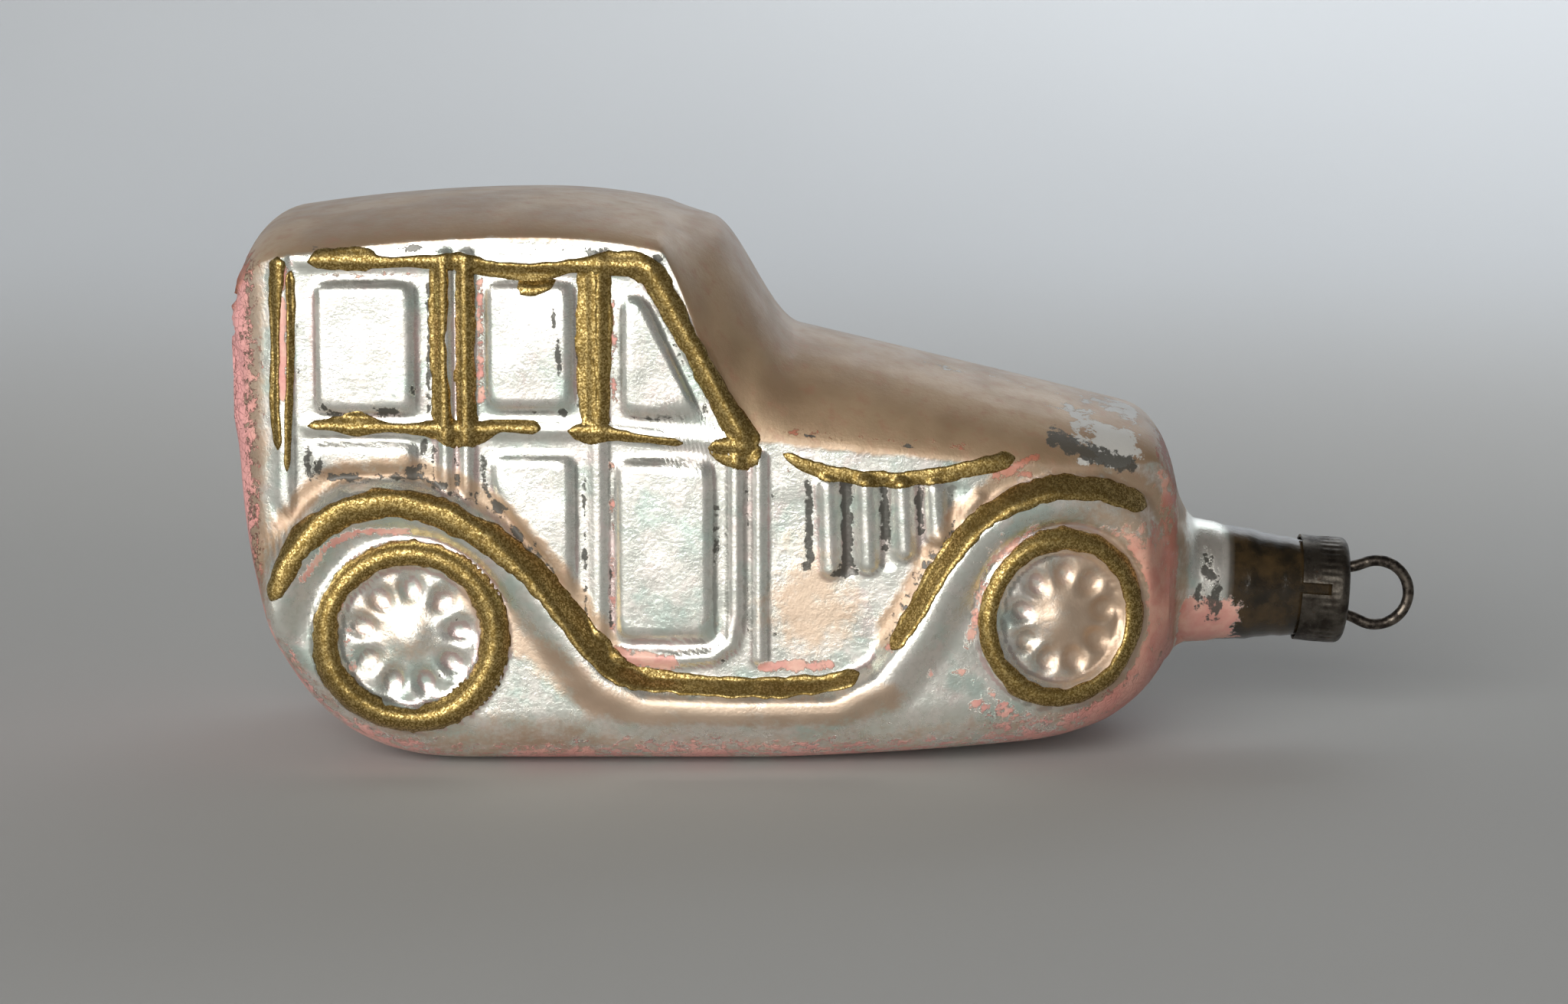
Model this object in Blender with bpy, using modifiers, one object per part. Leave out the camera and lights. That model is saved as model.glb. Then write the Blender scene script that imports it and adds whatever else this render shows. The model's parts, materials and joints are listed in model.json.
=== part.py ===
"""Mould-blown glass motor-car ornament: a hollow glass body, a slotted metal cap and a sprung wire hanger.

Metres, +Z up. The origin is the middle of the flat that the car rests on, +X points to its nose and neck.
The glass is a loft of cross-sections along the car, pressed outwards by the relief of a two-part mould,
less a smooth core. Cap and hanger are built about the neck's own axis, which droops a little.
"""

import math

import bmesh
import bpy
import numpy as np
from mathutils import Matrix, Vector

# ---- Driving dimensions -------------------------------------------------------------------------

# Body. Stations along the car are measured forwards from the back of the body.
BODY_LENGTH = 0.0730
BODY_WIDTH = 0.0305
ROOF_HEIGHT = 0.0438
WALL = 0.0007
REST_START = 0.018  # the flat underside, along the car
REST_END = 0.040
REST_WIDTH = 0.014
LOWER_CORNER = 0.005
SIDE_LEAN = 0.0009  # how far the cabin's sides lean in at the top

# Side outline
REAR_CORNER = 0.0044  # plan radius at the back
REAR_SWEEP_LENGTH = 0.018  # the underside's long sweep up to the back
REAR_SWEEP_HEIGHT = 0.027
REAR_SWEEP_POWER = 2.6  # 2 makes the sweep an ellipse, more holds it closer to its corner
ROOF_REAR_DROP = 0.0036
ROOF_REAR_LENGTH = 0.0042
ROOF_REAR_CROWN = 0.0024  # how far the roof falls from its peak to its back
ROOF_FRONT_CROWN = 0.0020  # and from its peak to the top of the windscreen
ROOF_PEAK = 0.0229
ROOF_DOME = 0.0022  # roof seam above the roof's edge
WINDSCREEN_TOP = 0.0364
WINDSCREEN_FOOT = 0.0433
PILLAR_TOP = 0.0314  # where the side's upper edge leaves the roof
PILLAR_FOOT = 0.0397
HOOD_REAR_HEIGHT = 0.0331
HOOD_FRONT_HEIGHT = 0.0276
HOOD_FRONT = 0.0659
HOOD_EDGE_REAR = 0.0260  # height of the hood's side edge
HOOD_EDGE_FRONT = 0.0235
BELLY_RISE = 0.0024  # the underside climbs this much towards the nose
NOSE_DROP_LENGTH = 0.0038
NOSE_DROP = 0.0055
NOSE_UNDERCUT_LENGTH = 0.012
NOSE_UNDERCUT = 0.0072
NOSE_TAPER_LENGTH = 0.0235
NOSE_HALF_WIDTH = 0.0060
NOSE_FACE_SET_BACK = 0.0009  # where the cross-sections hand over to the rounded front face
FACE_ROUNDING = 0.4  # share of the way to the neck that the face's own rounding takes
NOSE_RISE_POWER = 1.5
DOME_POWER = 0.62  # 0.5 rounds the roof's and hood's edges as an ellipse, 1 leaves them as sharp folds

# Mould relief on each side
WHEEL_HEIGHT = 0.0111
REAR_WHEEL = 0.0134
REAR_WHEEL_RADIUS = 0.0074
REAR_WHEEL_PROUD = 0.0002  # its flat, out from the body's side
FRONT_WHEEL_FROM_NOSE = 0.0097
FRONT_WHEEL_HEIGHT = 0.0121
FRONT_WHEEL_RADIUS = 0.0070
FRONT_WHEEL_PROUD = 0.0001
FRONT_WHEEL_TURN = math.radians(21)  # its face looks this much towards the nose
TYRE_WIDTH = 0.0019
TYRE_RELIEF = 0.0008
HUB_RELIEF = 0.0006
WHEEL_DRAFT = 0.0005  # a wheel's rim spreads this much towards the body
WHEEL_DEPTH = 0.0035  # reaches into the hollow, which cuts it back to the wall
FENDER_ROUND = 0.0025  # radius of the fenders' and running board's rounded back
FENDER_PROUD = 0.0014
FENDER_GAP = 0.0029  # the fender's ridge, out from its tyre's edge
FENDER_DIVE = 0.005  # how deep each end of it runs into the body
REAR_FENDER_ARC = (152, 30)  # degrees round its wheel, with 0 towards the nose
FRONT_FENDER_ARC = (160, 52)
SILL_HEIGHT = 0.0063
SILL_REAR = 0.0297
SILL_FRONT = 0.0464
PANE_PROUD = 0.0005
DOOR_PROUD = 0.0004
PANEL_EDGE = 0.0006  # bevel round a pane or a door
PANEL_DEPTH = 0.004
BEAD_ROUND = 0.0007  # radius of the pillar beads and hood louvres
BEAD_PROUD = 0.0004

# Neck
NECK_LENGTH = 0.0120
NECK_ROOT_RADIUS = 0.0050
NECK_MOUTH_RADIUS = 0.0034
NECK_ROOT_HEIGHT = 0.0125
NECK_ROOT_FORWARD = 0.0014  # neck root ahead of the front face
NECK_DROOP = math.radians(4)

# Cap
CAP_SHEET = 0.0002
CAP_GAP = 0.0002  # cap skirt to glass, at the skirt's open edge
CAP_SKIRT = 0.0033  # how far the skirt reaches down the neck
CAP_HEADROOM = 0.0003  # crown above the glass mouth
CAP_CORNER = 0.0007
SLOT_COUNT = 4
SLOT_WIDTH = 0.0009
SLOT_LENGTH = 0.0023
SLOT_TURN = math.radians(10)

# Hanger wire
WIRE_DIAMETER = 0.0009
HOLE_CLEARANCE = 0.0003
EYE_RADIUS = 0.0026  # to the wire's centre
EYE_CENTRE = 0.0026  # above the crown
EYE_START = math.radians(-20)  # where each shoulder of the wire runs into the eye
LEG_LENGTH = 0.0150
LEG_CLEARANCE = 0.0003  # leg to the glass of the mouth

# Fineness of the meshes
OUTER_ROWS = {"rest": 2, "corner": 5, "side": 5, "dome": 8}
CORE_ROWS = {"rest": 1, "corner": 3, "side": 4, "dome": 4}
OUTER_STATIONS = {"rear": 5, "length": 28, "nose": 7, "face": 5, "neck": 3}
CORE_STATIONS = {"rear": 4, "length": 16, "nose": 4, "face": 4, "neck": 2}
CORE_OVERRUN = 0.001
CAP_STEPS = 36
CORNER_STEPS = 4
SHARP_ANGLE = math.radians(40)
WHEEL_STEPS = 36
HUB_STEPS = 4
TYRE_STEPS = 6
DIVE_STEPS = 3
REAR_FENDER_STEPS = 13
FRONT_FENDER_STEPS = 12
EYE_STEPS = 12

# ---- Values that follow from them ---------------------------------------------------------------

ORIGIN_STATION = (REST_START + REST_END) / 2
NECK_DIRECTION = Vector((math.cos(NECK_DROOP), 0, -math.sin(NECK_DROOP)))
NECK_UP = Vector((math.sin(NECK_DROOP), 0, math.cos(NECK_DROOP)))
NECK_ROOT = Vector((BODY_LENGTH + NECK_ROOT_FORWARD - ORIGIN_STATION, 0, NECK_ROOT_HEIGHT))
NECK_MOUTH = NECK_ROOT + NECK_LENGTH * NECK_DIRECTION
WIRE_RADIUS = WIRE_DIAMETER / 2


def neck_radius(from_mouth):
    """Outer radius of the tapered neck, a distance back from its mouth."""
    return NECK_MOUTH_RADIUS + (NECK_ROOT_RADIUS - NECK_MOUTH_RADIUS) * from_mouth / NECK_LENGTH


CAP_INNER_RADIUS = neck_radius(CAP_SKIRT) + CAP_GAP
CAP_OUTER_RADIUS = CAP_INNER_RADIUS + CAP_SHEET
LEG_SPREAD = NECK_MOUTH_RADIUS - WALL - WIRE_RADIUS - LEG_CLEARANCE
CROWN_TOP = CAP_HEADROOM + CAP_SHEET  # above the glass mouth


# ---- Small shape functions ----------------------------------------------------------------------

def smooth_step(value, start, end):
    """0 before start, 1 after end, and a smooth S between."""
    t = np.clip((value - start) / (end - start), 0, 1)
    return t * t * (3 - 2 * t)


def round_off(distance, length, depth, power=2):
    """How far a rounded corner, an ellipse at power 2, has pulled in at a distance from its end."""
    t = np.clip(1 - distance / length, 0, 1)
    return depth * (1 - (1 - t**power) ** (1 / power))


# ---- The body's cross-sections ------------------------------------------------------------------

def top_height(x):
    """Height of the roof and hood along the middle plane."""
    behind = ROOF_REAR_CROWN * ((x - ROOF_PEAK) / ROOF_PEAK) ** 2
    ahead = ROOF_FRONT_CROWN * ((x - ROOF_PEAK) / (WINDSCREEN_TOP - ROOF_PEAK)) ** 2
    roof = ROOF_HEIGHT - np.where(x < ROOF_PEAK, behind, ahead)
    along_hood = (x - WINDSCREEN_FOOT) / (HOOD_FRONT - WINDSCREEN_FOOT)
    hood = HOOD_REAR_HEIGHT + (HOOD_FRONT_HEIGHT - HOOD_REAR_HEIGHT) * along_hood
    height = roof + (hood - roof) * smooth_step(x, WINDSCREEN_TOP, WINDSCREEN_FOOT)
    height -= round_off(x, ROOF_REAR_LENGTH, ROOF_REAR_DROP)
    return height - round_off(BODY_LENGTH - x, NOSE_DROP_LENGTH, NOSE_DROP)


def under_height(x):
    """Height of the underside along the middle plane."""
    climb = np.clip((x - REST_END) / (BODY_LENGTH - REST_END), 0, 1) ** NOSE_RISE_POWER
    sweep = round_off(x, REAR_SWEEP_LENGTH, REAR_SWEEP_HEIGHT, REAR_SWEEP_POWER)
    return BELLY_RISE * climb + sweep + round_off(
        BODY_LENGTH - x, NOSE_UNDERCUT_LENGTH, NOSE_UNDERCUT
    )


def edge_height(x):
    """Height of the fold between a side and the roof, windscreen or hood."""
    roof_edge = ROOF_HEIGHT - ROOF_DOME
    along_hood = np.clip((x - PILLAR_FOOT) / (HOOD_FRONT - PILLAR_FOOT), 0, 1)
    hood_edge = HOOD_EDGE_REAR + (HOOD_EDGE_FRONT - HOOD_EDGE_REAR) * along_hood
    edge = roof_edge + (hood_edge - roof_edge) * smooth_step(x, PILLAR_TOP, PILLAR_FOOT)
    middle = (top_height(x) + under_height(x)) / 2
    return np.maximum(np.minimum(edge, top_height(x) - ROOF_DOME), middle)


def half_width(x):
    """Half the body's width at the foot of its sides."""
    nose_depth = BODY_WIDTH / 2 - NOSE_HALF_WIDTH
    at_rear = round_off(x, REAR_CORNER, REAR_CORNER)
    return BODY_WIDTH / 2 - at_rear - round_off(BODY_LENGTH - x, NOSE_TAPER_LENGTH, nose_depth)


def half_section(x, rows, inset):
    """(y, z) of one half of the body at station x, from the bottom seam round to the top seam.

    An inset makes the hollow: its stations stretch to the body's, so that the wall holds at both ends.
    """
    x = (x - inset) * BODY_LENGTH / (BODY_LENGTH - 2 * inset)
    bottom, top, edge = under_height(x) + inset, top_height(x) - inset, edge_height(x) - inset
    width = half_width(x) - inset
    corner = min(LOWER_CORNER, (edge - bottom) / 2)
    rest_half = min(REST_WIDTH / 2, width - corner)
    lean = SIDE_LEAN * (edge - bottom) / ROOF_HEIGHT
    points = [(rest_half * i / rows["rest"], bottom) for i in range(rows["rest"])]
    for i in range(rows["corner"]):
        angle = math.pi / 2 * i / rows["corner"]
        y = rest_half + (width - rest_half) * math.sin(angle)
        points.append((y, bottom + corner * (1 - math.cos(angle))))
    for i in range(rows["side"]):
        share = i / rows["side"]
        points.append((width - lean * share, bottom + corner + (edge - bottom - corner) * share))
    for i in range(rows["dome"] + 1):
        across = math.cos(math.pi / 2 * i / rows["dome"])
        rise = (top - edge) * (1 - across * across) ** DOME_POWER
        points.append(((width - lean) * across, edge + rise))
    return points


# ---- The mould's relief -------------------------------------------------------------------------

def side_at(x, z):
    """How far the side of the body stands from the middle plane at station x and height z."""
    bottom, edge, width = under_height(x), edge_height(x), half_width(x)
    corner = min(LOWER_CORNER, (edge - bottom) / 2)
    if z < bottom + corner:
        below = np.clip((bottom + corner - z) / corner, 0, 1)
        rest_half = min(REST_WIDTH / 2, width - corner)
        return rest_half + (width - rest_half) * math.sqrt(1 - below * below)
    share = (z - bottom - corner) / (edge - bottom - corner)
    return width - SIDE_LEAN * (edge - bottom) / ROOF_HEIGHT * share


def arc_points(centre, radius, arc, steps):
    """Points on an arc on the side of the car, from one angle to another in degrees."""
    angles = np.radians(np.linspace(*arc, steps + 1))
    return [(centre[0] + radius * math.cos(a), centre[1] + radius * math.sin(a)) for a in angles]


def fender_path():
    """Ridge line of the rear fender, the running board and the front fender."""
    rear = (REAR_WHEEL, WHEEL_HEIGHT)
    front = (BODY_LENGTH - FRONT_WHEEL_FROM_NOSE, FRONT_WHEEL_HEIGHT)
    over_rear = arc_points(rear, REAR_WHEEL_RADIUS + FENDER_GAP, REAR_FENDER_ARC, REAR_FENDER_STEPS)
    over_front = arc_points(front, FRONT_WHEEL_RADIUS + FENDER_GAP, FRONT_FENDER_ARC, FRONT_FENDER_STEPS)
    return over_rear + [(SILL_REAR, SILL_HEIGHT), (SILL_FRONT, SILL_HEIGHT)] + over_front


# Panels on each side: a name, how proud it stands, and its corners as (station, height).
PANELS = (
    ("rear_pane", PANE_PROUD, ((0.0061, 0.0276), (0.0141, 0.0276), (0.0141, 0.0381), (0.0061, 0.0381))),
    ("middle_pane", PANE_PROUD, ((0.0189, 0.0278), (0.0263, 0.0278), (0.0263, 0.0381), (0.0189, 0.0381))),
    ("front_pane", PANE_PROUD, ((0.0290, 0.0273), (0.0364, 0.0276), (0.0312, 0.0370), (0.0290, 0.0370))),
    ("rear_door", DOOR_PROUD, ((0.0249, 0.0152), (0.0269, 0.0117), (0.0269, 0.0252), (0.0194, 0.0252))),
    ("front_door", DOOR_PROUD, ((0.0283, 0.0092), (0.0369, 0.0104), (0.0373, 0.0248), (0.0283, 0.0250))),
)
# Upright beads on each side, from (station, height) to (station, height).
BEADS = (
    ("pillar_bead_1", (0.0164, 0.0227), (0.0164, 0.0392)),
    ("pillar_bead_2", (0.0178, 0.0227), (0.0178, 0.0392)),
    ("cowl_bead", (0.0392, 0.0112), (0.0392, 0.0237)),
    ("louvre_1", (0.0452, 0.0164), (0.0452, 0.0221)),
    ("louvre_2", (0.0482, 0.0168), (0.0482, 0.0219)),
    ("louvre_3", (0.0510, 0.0176), (0.0510, 0.0217)),
    ("louvre_4", (0.0536, 0.0184), (0.0536, 0.0215)),
)


# ---- Rings of points along the car --------------------------------------------------------------

def station_list(counts, inset):
    """Stations along the body, closer together where its ends round off."""
    start, end = inset, BODY_LENGTH - NOSE_FACE_SET_BACK - inset
    rear = [REAR_CORNER * (1 - math.cos(math.pi / 2 * i / counts["rear"])) for i in range(counts["rear"])]
    nose_start = end - NOSE_DROP_LENGTH
    middle = np.linspace(start + REAR_CORNER, nose_start, counts["length"], endpoint=False)
    angles = np.linspace(0, math.pi / 2, counts["nose"] + 1)
    nose = [nose_start + NOSE_DROP_LENGTH * math.sin(a) for a in angles]
    return [start + x for x in rear] + list(middle) + nose


def body_ring(x, rows, inset):
    """Half ring of the body at a station, as points in the part's frame."""
    return [Vector((x - ORIGIN_STATION, y, z)) for y, z in half_section(x, rows, inset)]


def neck_ring(from_root, radius, count):
    """Half ring of the neck, square to its axis."""
    centre = NECK_ROOT + from_root * NECK_DIRECTION
    angles = np.linspace(-math.pi / 2, math.pi / 2, count)
    return [centre + radius * (math.sin(a) * NECK_UP + math.cos(a) * Vector((0, 1, 0))) for a in angles]


def face_rings(last, root, count):
    """Half rings from the last cross-section over the front face to the neck's root."""
    rings = []
    for i in range(1, count + 1):
        t = i / (count + 1)
        rounding, fillet = 1 - (1 - t) ** 3, t**4
        forward = FACE_ROUNDING * rounding + (1 - FACE_ROUNDING) * fillet
        ring = []
        for a, b in zip(last, root):
            point = a.lerp(b, t)
            point.x = a.x + (b.x - a.x) * forward
            ring.append(point)
        rings.append(ring)
    return rings


def vessel_rings(rows, counts, inset, overrun):
    """All half rings of the vessel, from the back of the body to the mouth of the neck."""
    rings = [body_ring(x, rows, inset) for x in station_list(counts, inset)]
    points = len(rings[0])
    root = neck_ring(0, NECK_ROOT_RADIUS - inset, points)
    rings += face_rings(rings[-1], root, counts["face"])
    for i in range(counts["neck"] + 1):
        along = NECK_LENGTH * i / counts["neck"]
        rings.append(neck_ring(along, neck_radius(NECK_LENGTH - along) - inset, points))
    if overrun:
        rings.append(neck_ring(NECK_LENGTH + overrun, NECK_MOUTH_RADIUS - inset, points))
    return rings


# ---- Building blocks ----------------------------------------------------------------------------

def clear_scene():
    for obj in list(bpy.data.objects):
        bpy.data.objects.remove(obj, do_unlink=True)


def new_collection(name):
    collection = bpy.data.collections.new(name)
    bpy.context.scene.collection.children.link(collection)
    return collection


def material(name, colour, roughness, metallic, coat=0.0):
    made = bpy.data.materials.new(name)
    made.use_nodes = True
    shader = made.node_tree.nodes["Principled BSDF"]
    shader.inputs["Base Color"].default_value = (*colour, 1)
    shader.inputs["Roughness"].default_value = roughness
    shader.inputs["Metallic"].default_value = metallic
    shader.inputs["Coat Weight"].default_value = coat
    return made


def object_from_bmesh(name, mesh, collection):
    data = bpy.data.meshes.new(name)
    mesh.to_mesh(data)
    mesh.free()
    obj = bpy.data.objects.new(name, data)
    collection.objects.link(obj)
    return obj


def make_cutter(obj):
    obj.hide_render = True
    obj.display_type = "WIRE"
    return obj


def mirror_across_seam(obj):
    mirror = obj.modifiers.new("other_mould_half", "MIRROR")
    mirror.use_axis = (False, True, False)
    mirror.merge_threshold = 0.000001


def mirrored_loft(name, rings, collection):
    """A vessel from half rings: the faces between them and one at each end, mirrored at the seam."""
    mesh = bmesh.new()
    loops = [[mesh.verts.new(point) for point in ring] for ring in rings]
    for here, ahead in zip(loops, loops[1:]):
        for i in range(len(here) - 1):
            mesh.faces.new((here[i], here[i + 1], ahead[i + 1], ahead[i]))
    mesh.faces.new(reversed(loops[0]))
    mesh.faces.new(loops[-1])
    obj = object_from_bmesh(name, mesh, collection)
    mirror_across_seam(obj)
    return obj


def combine(obj, name, operation, cutters):
    """Joins to an object, or takes away from it, one other object or every object of a collection."""
    modifier = obj.modifiers.new(name, "BOOLEAN")
    modifier.operation = operation
    modifier.solver = "EXACT"
    if isinstance(cutters, bpy.types.Collection):
        modifier.operand_type = "COLLECTION"
        modifier.collection = cutters
    else:
        modifier.object = cutters


def turned(name, profile, steps, collection):
    """A closed profile of (radius, height) points, turned about Z. It runs down the outer side."""
    mesh = bmesh.new()
    points = [mesh.verts.new((r, 0, z)) for r, z in profile]
    for a, b in zip(points, points[1:]):
        mesh.edges.new((a, b))
    obj = object_from_bmesh(name, mesh, collection)
    screw = obj.modifiers.new("turned", "SCREW")
    screw.steps = screw.render_steps = steps
    screw.use_merge_vertices = True
    screw.merge_threshold = 0.000001
    screw.use_smooth_shade = True
    return obj


def wire(name, points, radius, collection):
    """A round wire or bead through the points, as a curve with filled caps."""
    data = bpy.data.curves.new(name, "CURVE")
    data.dimensions = "3D"
    data.bevel_depth = radius
    data.bevel_resolution = 2
    data.use_fill_caps = True
    spline = data.splines.new("POLY")
    spline.points.add(len(points) - 1)
    for target, point in zip(spline.points, points):
        target.co = (*point, 1)
    obj = bpy.data.objects.new(name, data)
    collection.objects.link(obj)
    return obj


def wire_mesh(name, points, radius, collection):
    """The same wire as a closed mesh, for a Boolean to join."""
    curve = wire(name + "_line", points, radius, collection)
    bpy.context.view_layer.update()
    data = bpy.data.meshes.new_from_object(curve.evaluated_get(bpy.context.evaluated_depsgraph_get()))
    mesh = bmesh.new()
    mesh.from_mesh(data)
    bmesh.ops.remove_doubles(mesh, verts=mesh.verts, dist=0.000001)
    bpy.data.objects.remove(curve, do_unlink=True)
    return object_from_bmesh(name, mesh, collection)


# ---- The pieces ---------------------------------------------------------------------------------

def wheel_profile(radius):
    """A moulded wheel: domed hub, groove, rounded tyre, drafted rim and a back inside the body."""
    hub_radius = radius - TYRE_WIDTH
    points = []
    for i in range(HUB_STEPS):
        across = i / HUB_STEPS
        points.append((hub_radius * across, HUB_RELIEF * math.cos(math.pi / 2 * across)))
    for i in range(TYRE_STEPS + 1):
        angle = math.pi * (1 - i / TYRE_STEPS)
        middle = radius - TYRE_WIDTH / 2
        points.append((middle + TYRE_WIDTH / 2 * math.cos(angle), TYRE_RELIEF * math.sin(angle)))
    return points + [(radius + WHEEL_DRAFT, -WHEEL_DEPTH), (0, -WHEEL_DEPTH)]


def wheel(name, group, station, height, radius, proud, turn, side):
    """One wheel on one side of the car, its axis along Y but turned a little towards the nose."""
    obj = turned(name, wheel_profile(radius), WHEEL_STEPS, group)
    outward = side * (float(half_width(station)) + proud)
    obj.location = (station - ORIGIN_STATION, outward, height)
    obj.rotation_euler = (-side * math.pi / 2, 0, -side * turn)
    return make_cutter(obj)


def wheels(group):
    """The four wheels that the mould presses out of the sides."""
    front = BODY_LENGTH - FRONT_WHEEL_FROM_NOSE
    for label, side in (("left", 1), ("right", -1)):
        wheel(f"rear_wheel_{label}", group, REAR_WHEEL, WHEEL_HEIGHT, REAR_WHEEL_RADIUS,
              REAR_WHEEL_PROUD, 0, side)
        wheel(f"front_wheel_{label}", group, front, FRONT_WHEEL_HEIGHT, FRONT_WHEEL_RADIUS,
              FRONT_WHEEL_PROUD, FRONT_WHEEL_TURN, side)


def sunk(x, z, depth):
    """A point on the left side of the car, a depth below its surface."""
    return (x - ORIGIN_STATION, float(side_at(x, z)) - depth, z)


def fenders(group):
    """Both fenders and the running board between them: one rounded ridge, whose ends sink in."""
    points = []
    path = fender_path()
    for i, (x, z) in enumerate(path):
        from_end = min(i, len(path) - 1 - i) / DIVE_STEPS
        dive = FENDER_DIVE * max(1 - from_end, 0) ** 2
        points.append(sunk(x, z, FENDER_ROUND - FENDER_PROUD + dive))
    ridge = make_cutter(wire_mesh("fender_ridge", points, FENDER_ROUND, group))
    mirror_across_seam(ridge)


def panels(group):
    """Window panes and doors: low plates with bevelled edges."""
    for name, proud, corners in PANELS:
        middle_x = sum(x for x, _ in corners) / len(corners)
        middle_z = sum(z for _, z in corners) / len(corners)
        face = float(side_at(middle_x, middle_z)) + proud
        mesh = bmesh.new()
        outline = mesh.faces.new([mesh.verts.new((x - ORIGIN_STATION, face, z)) for x, z in corners])
        back = bmesh.ops.extrude_face_region(mesh, geom=[outline])["geom"]
        moved = [item for item in back if isinstance(item, bmesh.types.BMVert)]
        bmesh.ops.translate(mesh, vec=(0, -PANEL_DEPTH, 0), verts=moved)
        bmesh.ops.recalc_face_normals(mesh, faces=mesh.faces)
        plate = make_cutter(object_from_bmesh(name, mesh, group))
        bevel = plate.modifiers.new("edges", "BEVEL")
        bevel.width = PANEL_EDGE
        bevel.segments = 2
        mirror_across_seam(plate)


def beads(group):
    """The pillar beads, the cowl bead and the hood's louvres."""
    for name, low, high in BEADS:
        depth = BEAD_ROUND - BEAD_PROUD
        ends = [sunk(*low, depth), sunk(*high, depth)]
        mirror_across_seam(make_cutter(wire_mesh(name, ends, BEAD_ROUND, group)))


def relief(cutters):
    """Everything that the mould presses out of the smooth body."""
    group = bpy.data.collections.new("moulded_relief")
    cutters.children.link(group)
    wheels(group)
    fenders(group)
    panels(group)
    beads(group)
    return group


def glass_body(parts, cutters):
    """The hollow glass: body and neck in one, open at the mouth."""
    outside = vessel_rings(OUTER_ROWS, OUTER_STATIONS, 0, overrun=0)
    inside = vessel_rings(CORE_ROWS, CORE_STATIONS, WALL, overrun=CORE_OVERRUN)
    body = mirrored_loft("glass_body", outside, parts)
    core = make_cutter(mirrored_loft("glass_core", inside, cutters))
    combine(body, "relief", "UNION", relief(cutters))
    combine(body, "hollow", "DIFFERENCE", core)
    body.data.shade_smooth()
    body.data.set_sharp_from_angle(angle=SHARP_ANGLE)
    body.data.materials.append(material("silvered_glass", (0.80, 0.76, 0.70), 0.25, 0.9, coat=1.0))
    return body


def neck_empty(parts):
    """An empty at the neck's mouth, whose Z runs out along the neck: cap and hanger are built on it."""
    empty = bpy.data.objects.new("neck_axis", None)
    parts.objects.link(empty)
    columns = (NECK_UP.cross(NECK_DIRECTION) * -1, NECK_UP, NECK_DIRECTION)
    turn = Matrix(columns).transposed().to_4x4()
    empty.matrix_world = Matrix.Translation(NECK_MOUTH) @ turn
    return empty


def cap_profile():
    """Half section of the cap, from the crown's outside, round the skirt, to the crown's inside."""
    def corner(radius, top):
        """The rounded corner of a surface whose flat top and upright side are this far out."""
        angles = [math.pi / 2 * (1 - i / CORNER_STEPS) for i in range(CORNER_STEPS + 1)]
        middle, bend = radius - CAP_CORNER, CAP_CORNER
        return [(middle + bend * math.cos(a), top - bend + bend * math.sin(a)) for a in angles]

    outside = [(0, CROWN_TOP)] + corner(CAP_OUTER_RADIUS, CROWN_TOP) + [(CAP_OUTER_RADIUS, -CAP_SKIRT)]
    bend = CAP_CORNER - CAP_SHEET
    middle = CAP_INNER_RADIUS - bend
    inside = [(CAP_INNER_RADIUS, -CAP_SKIRT)]
    for i in range(CORNER_STEPS + 1):
        angle = math.pi / 2 * i / CORNER_STEPS
        inside.append((middle + bend * math.cos(angle), CAP_HEADROOM - bend + bend * math.sin(angle)))
    return outside + inside + [(0, CAP_HEADROOM)]


def cap_cutters(group, axis):
    """The slots that free the skirt's tabs, and the two holes for the wire."""
    for i in range(SLOT_COUNT):
        angle = SLOT_TURN + math.tau * i / SLOT_COUNT
        mesh = bmesh.new()
        bmesh.ops.create_cube(mesh, size=1)
        reach = CAP_OUTER_RADIUS
        bmesh.ops.scale(mesh, vec=(reach, SLOT_WIDTH, 2 * SLOT_LENGTH), verts=mesh.verts)
        bmesh.ops.translate(mesh, vec=(CAP_OUTER_RADIUS, 0, -CAP_SKIRT), verts=mesh.verts)
        bmesh.ops.rotate(mesh, matrix=Matrix.Rotation(angle, 3, "Z"), verts=mesh.verts)
        make_cutter(object_from_bmesh(f"slot_{i + 1}", mesh, group)).parent = axis
    for side in (-1, 1):
        mesh = bmesh.new()
        radius = WIRE_RADIUS + HOLE_CLEARANCE
        bmesh.ops.create_cone(
            mesh, cap_ends=True, segments=24, radius1=radius, radius2=radius, depth=8 * CAP_SHEET
        )
        middle = (0, side * LEG_SPREAD, CROWN_TOP - CAP_SHEET / 2)
        bmesh.ops.translate(mesh, vec=middle, verts=mesh.verts)
        make_cutter(object_from_bmesh(f"wire_hole_{side}", mesh, group)).parent = axis


def cap(parts, cutters, axis):
    """The thin metal cap: a turned shell with slots in its skirt and two holes in its crown."""
    obj = turned("cap", cap_profile(), CAP_STEPS, parts)
    obj.parent = axis
    group = bpy.data.collections.new("cap_cutters")
    cutters.children.link(group)
    cap_cutters(group, axis)
    combine(obj, "slots_and_holes", "DIFFERENCE", group)
    obj.data.materials.append(material("tarnished_tinplate", (0.14, 0.13, 0.11), 0.42, 1.0))
    return obj


def hanger_points():
    """Half of the wire's centreline, from a leg's end to the top of the eye, as (side, up) points."""
    crown = CROWN_TOP
    leg = [(LEG_SPREAD, crown - LEG_LENGTH), (LEG_SPREAD, crown + WIRE_RADIUS)]
    eye = []
    for i in range(EYE_STEPS + 1):
        angle = EYE_START + (math.pi / 2 - EYE_START) * i / EYE_STEPS
        side = EYE_RADIUS * math.cos(angle)
        eye.append((side, crown + EYE_CENTRE + EYE_RADIUS * math.sin(angle)))
    return leg + eye


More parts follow.
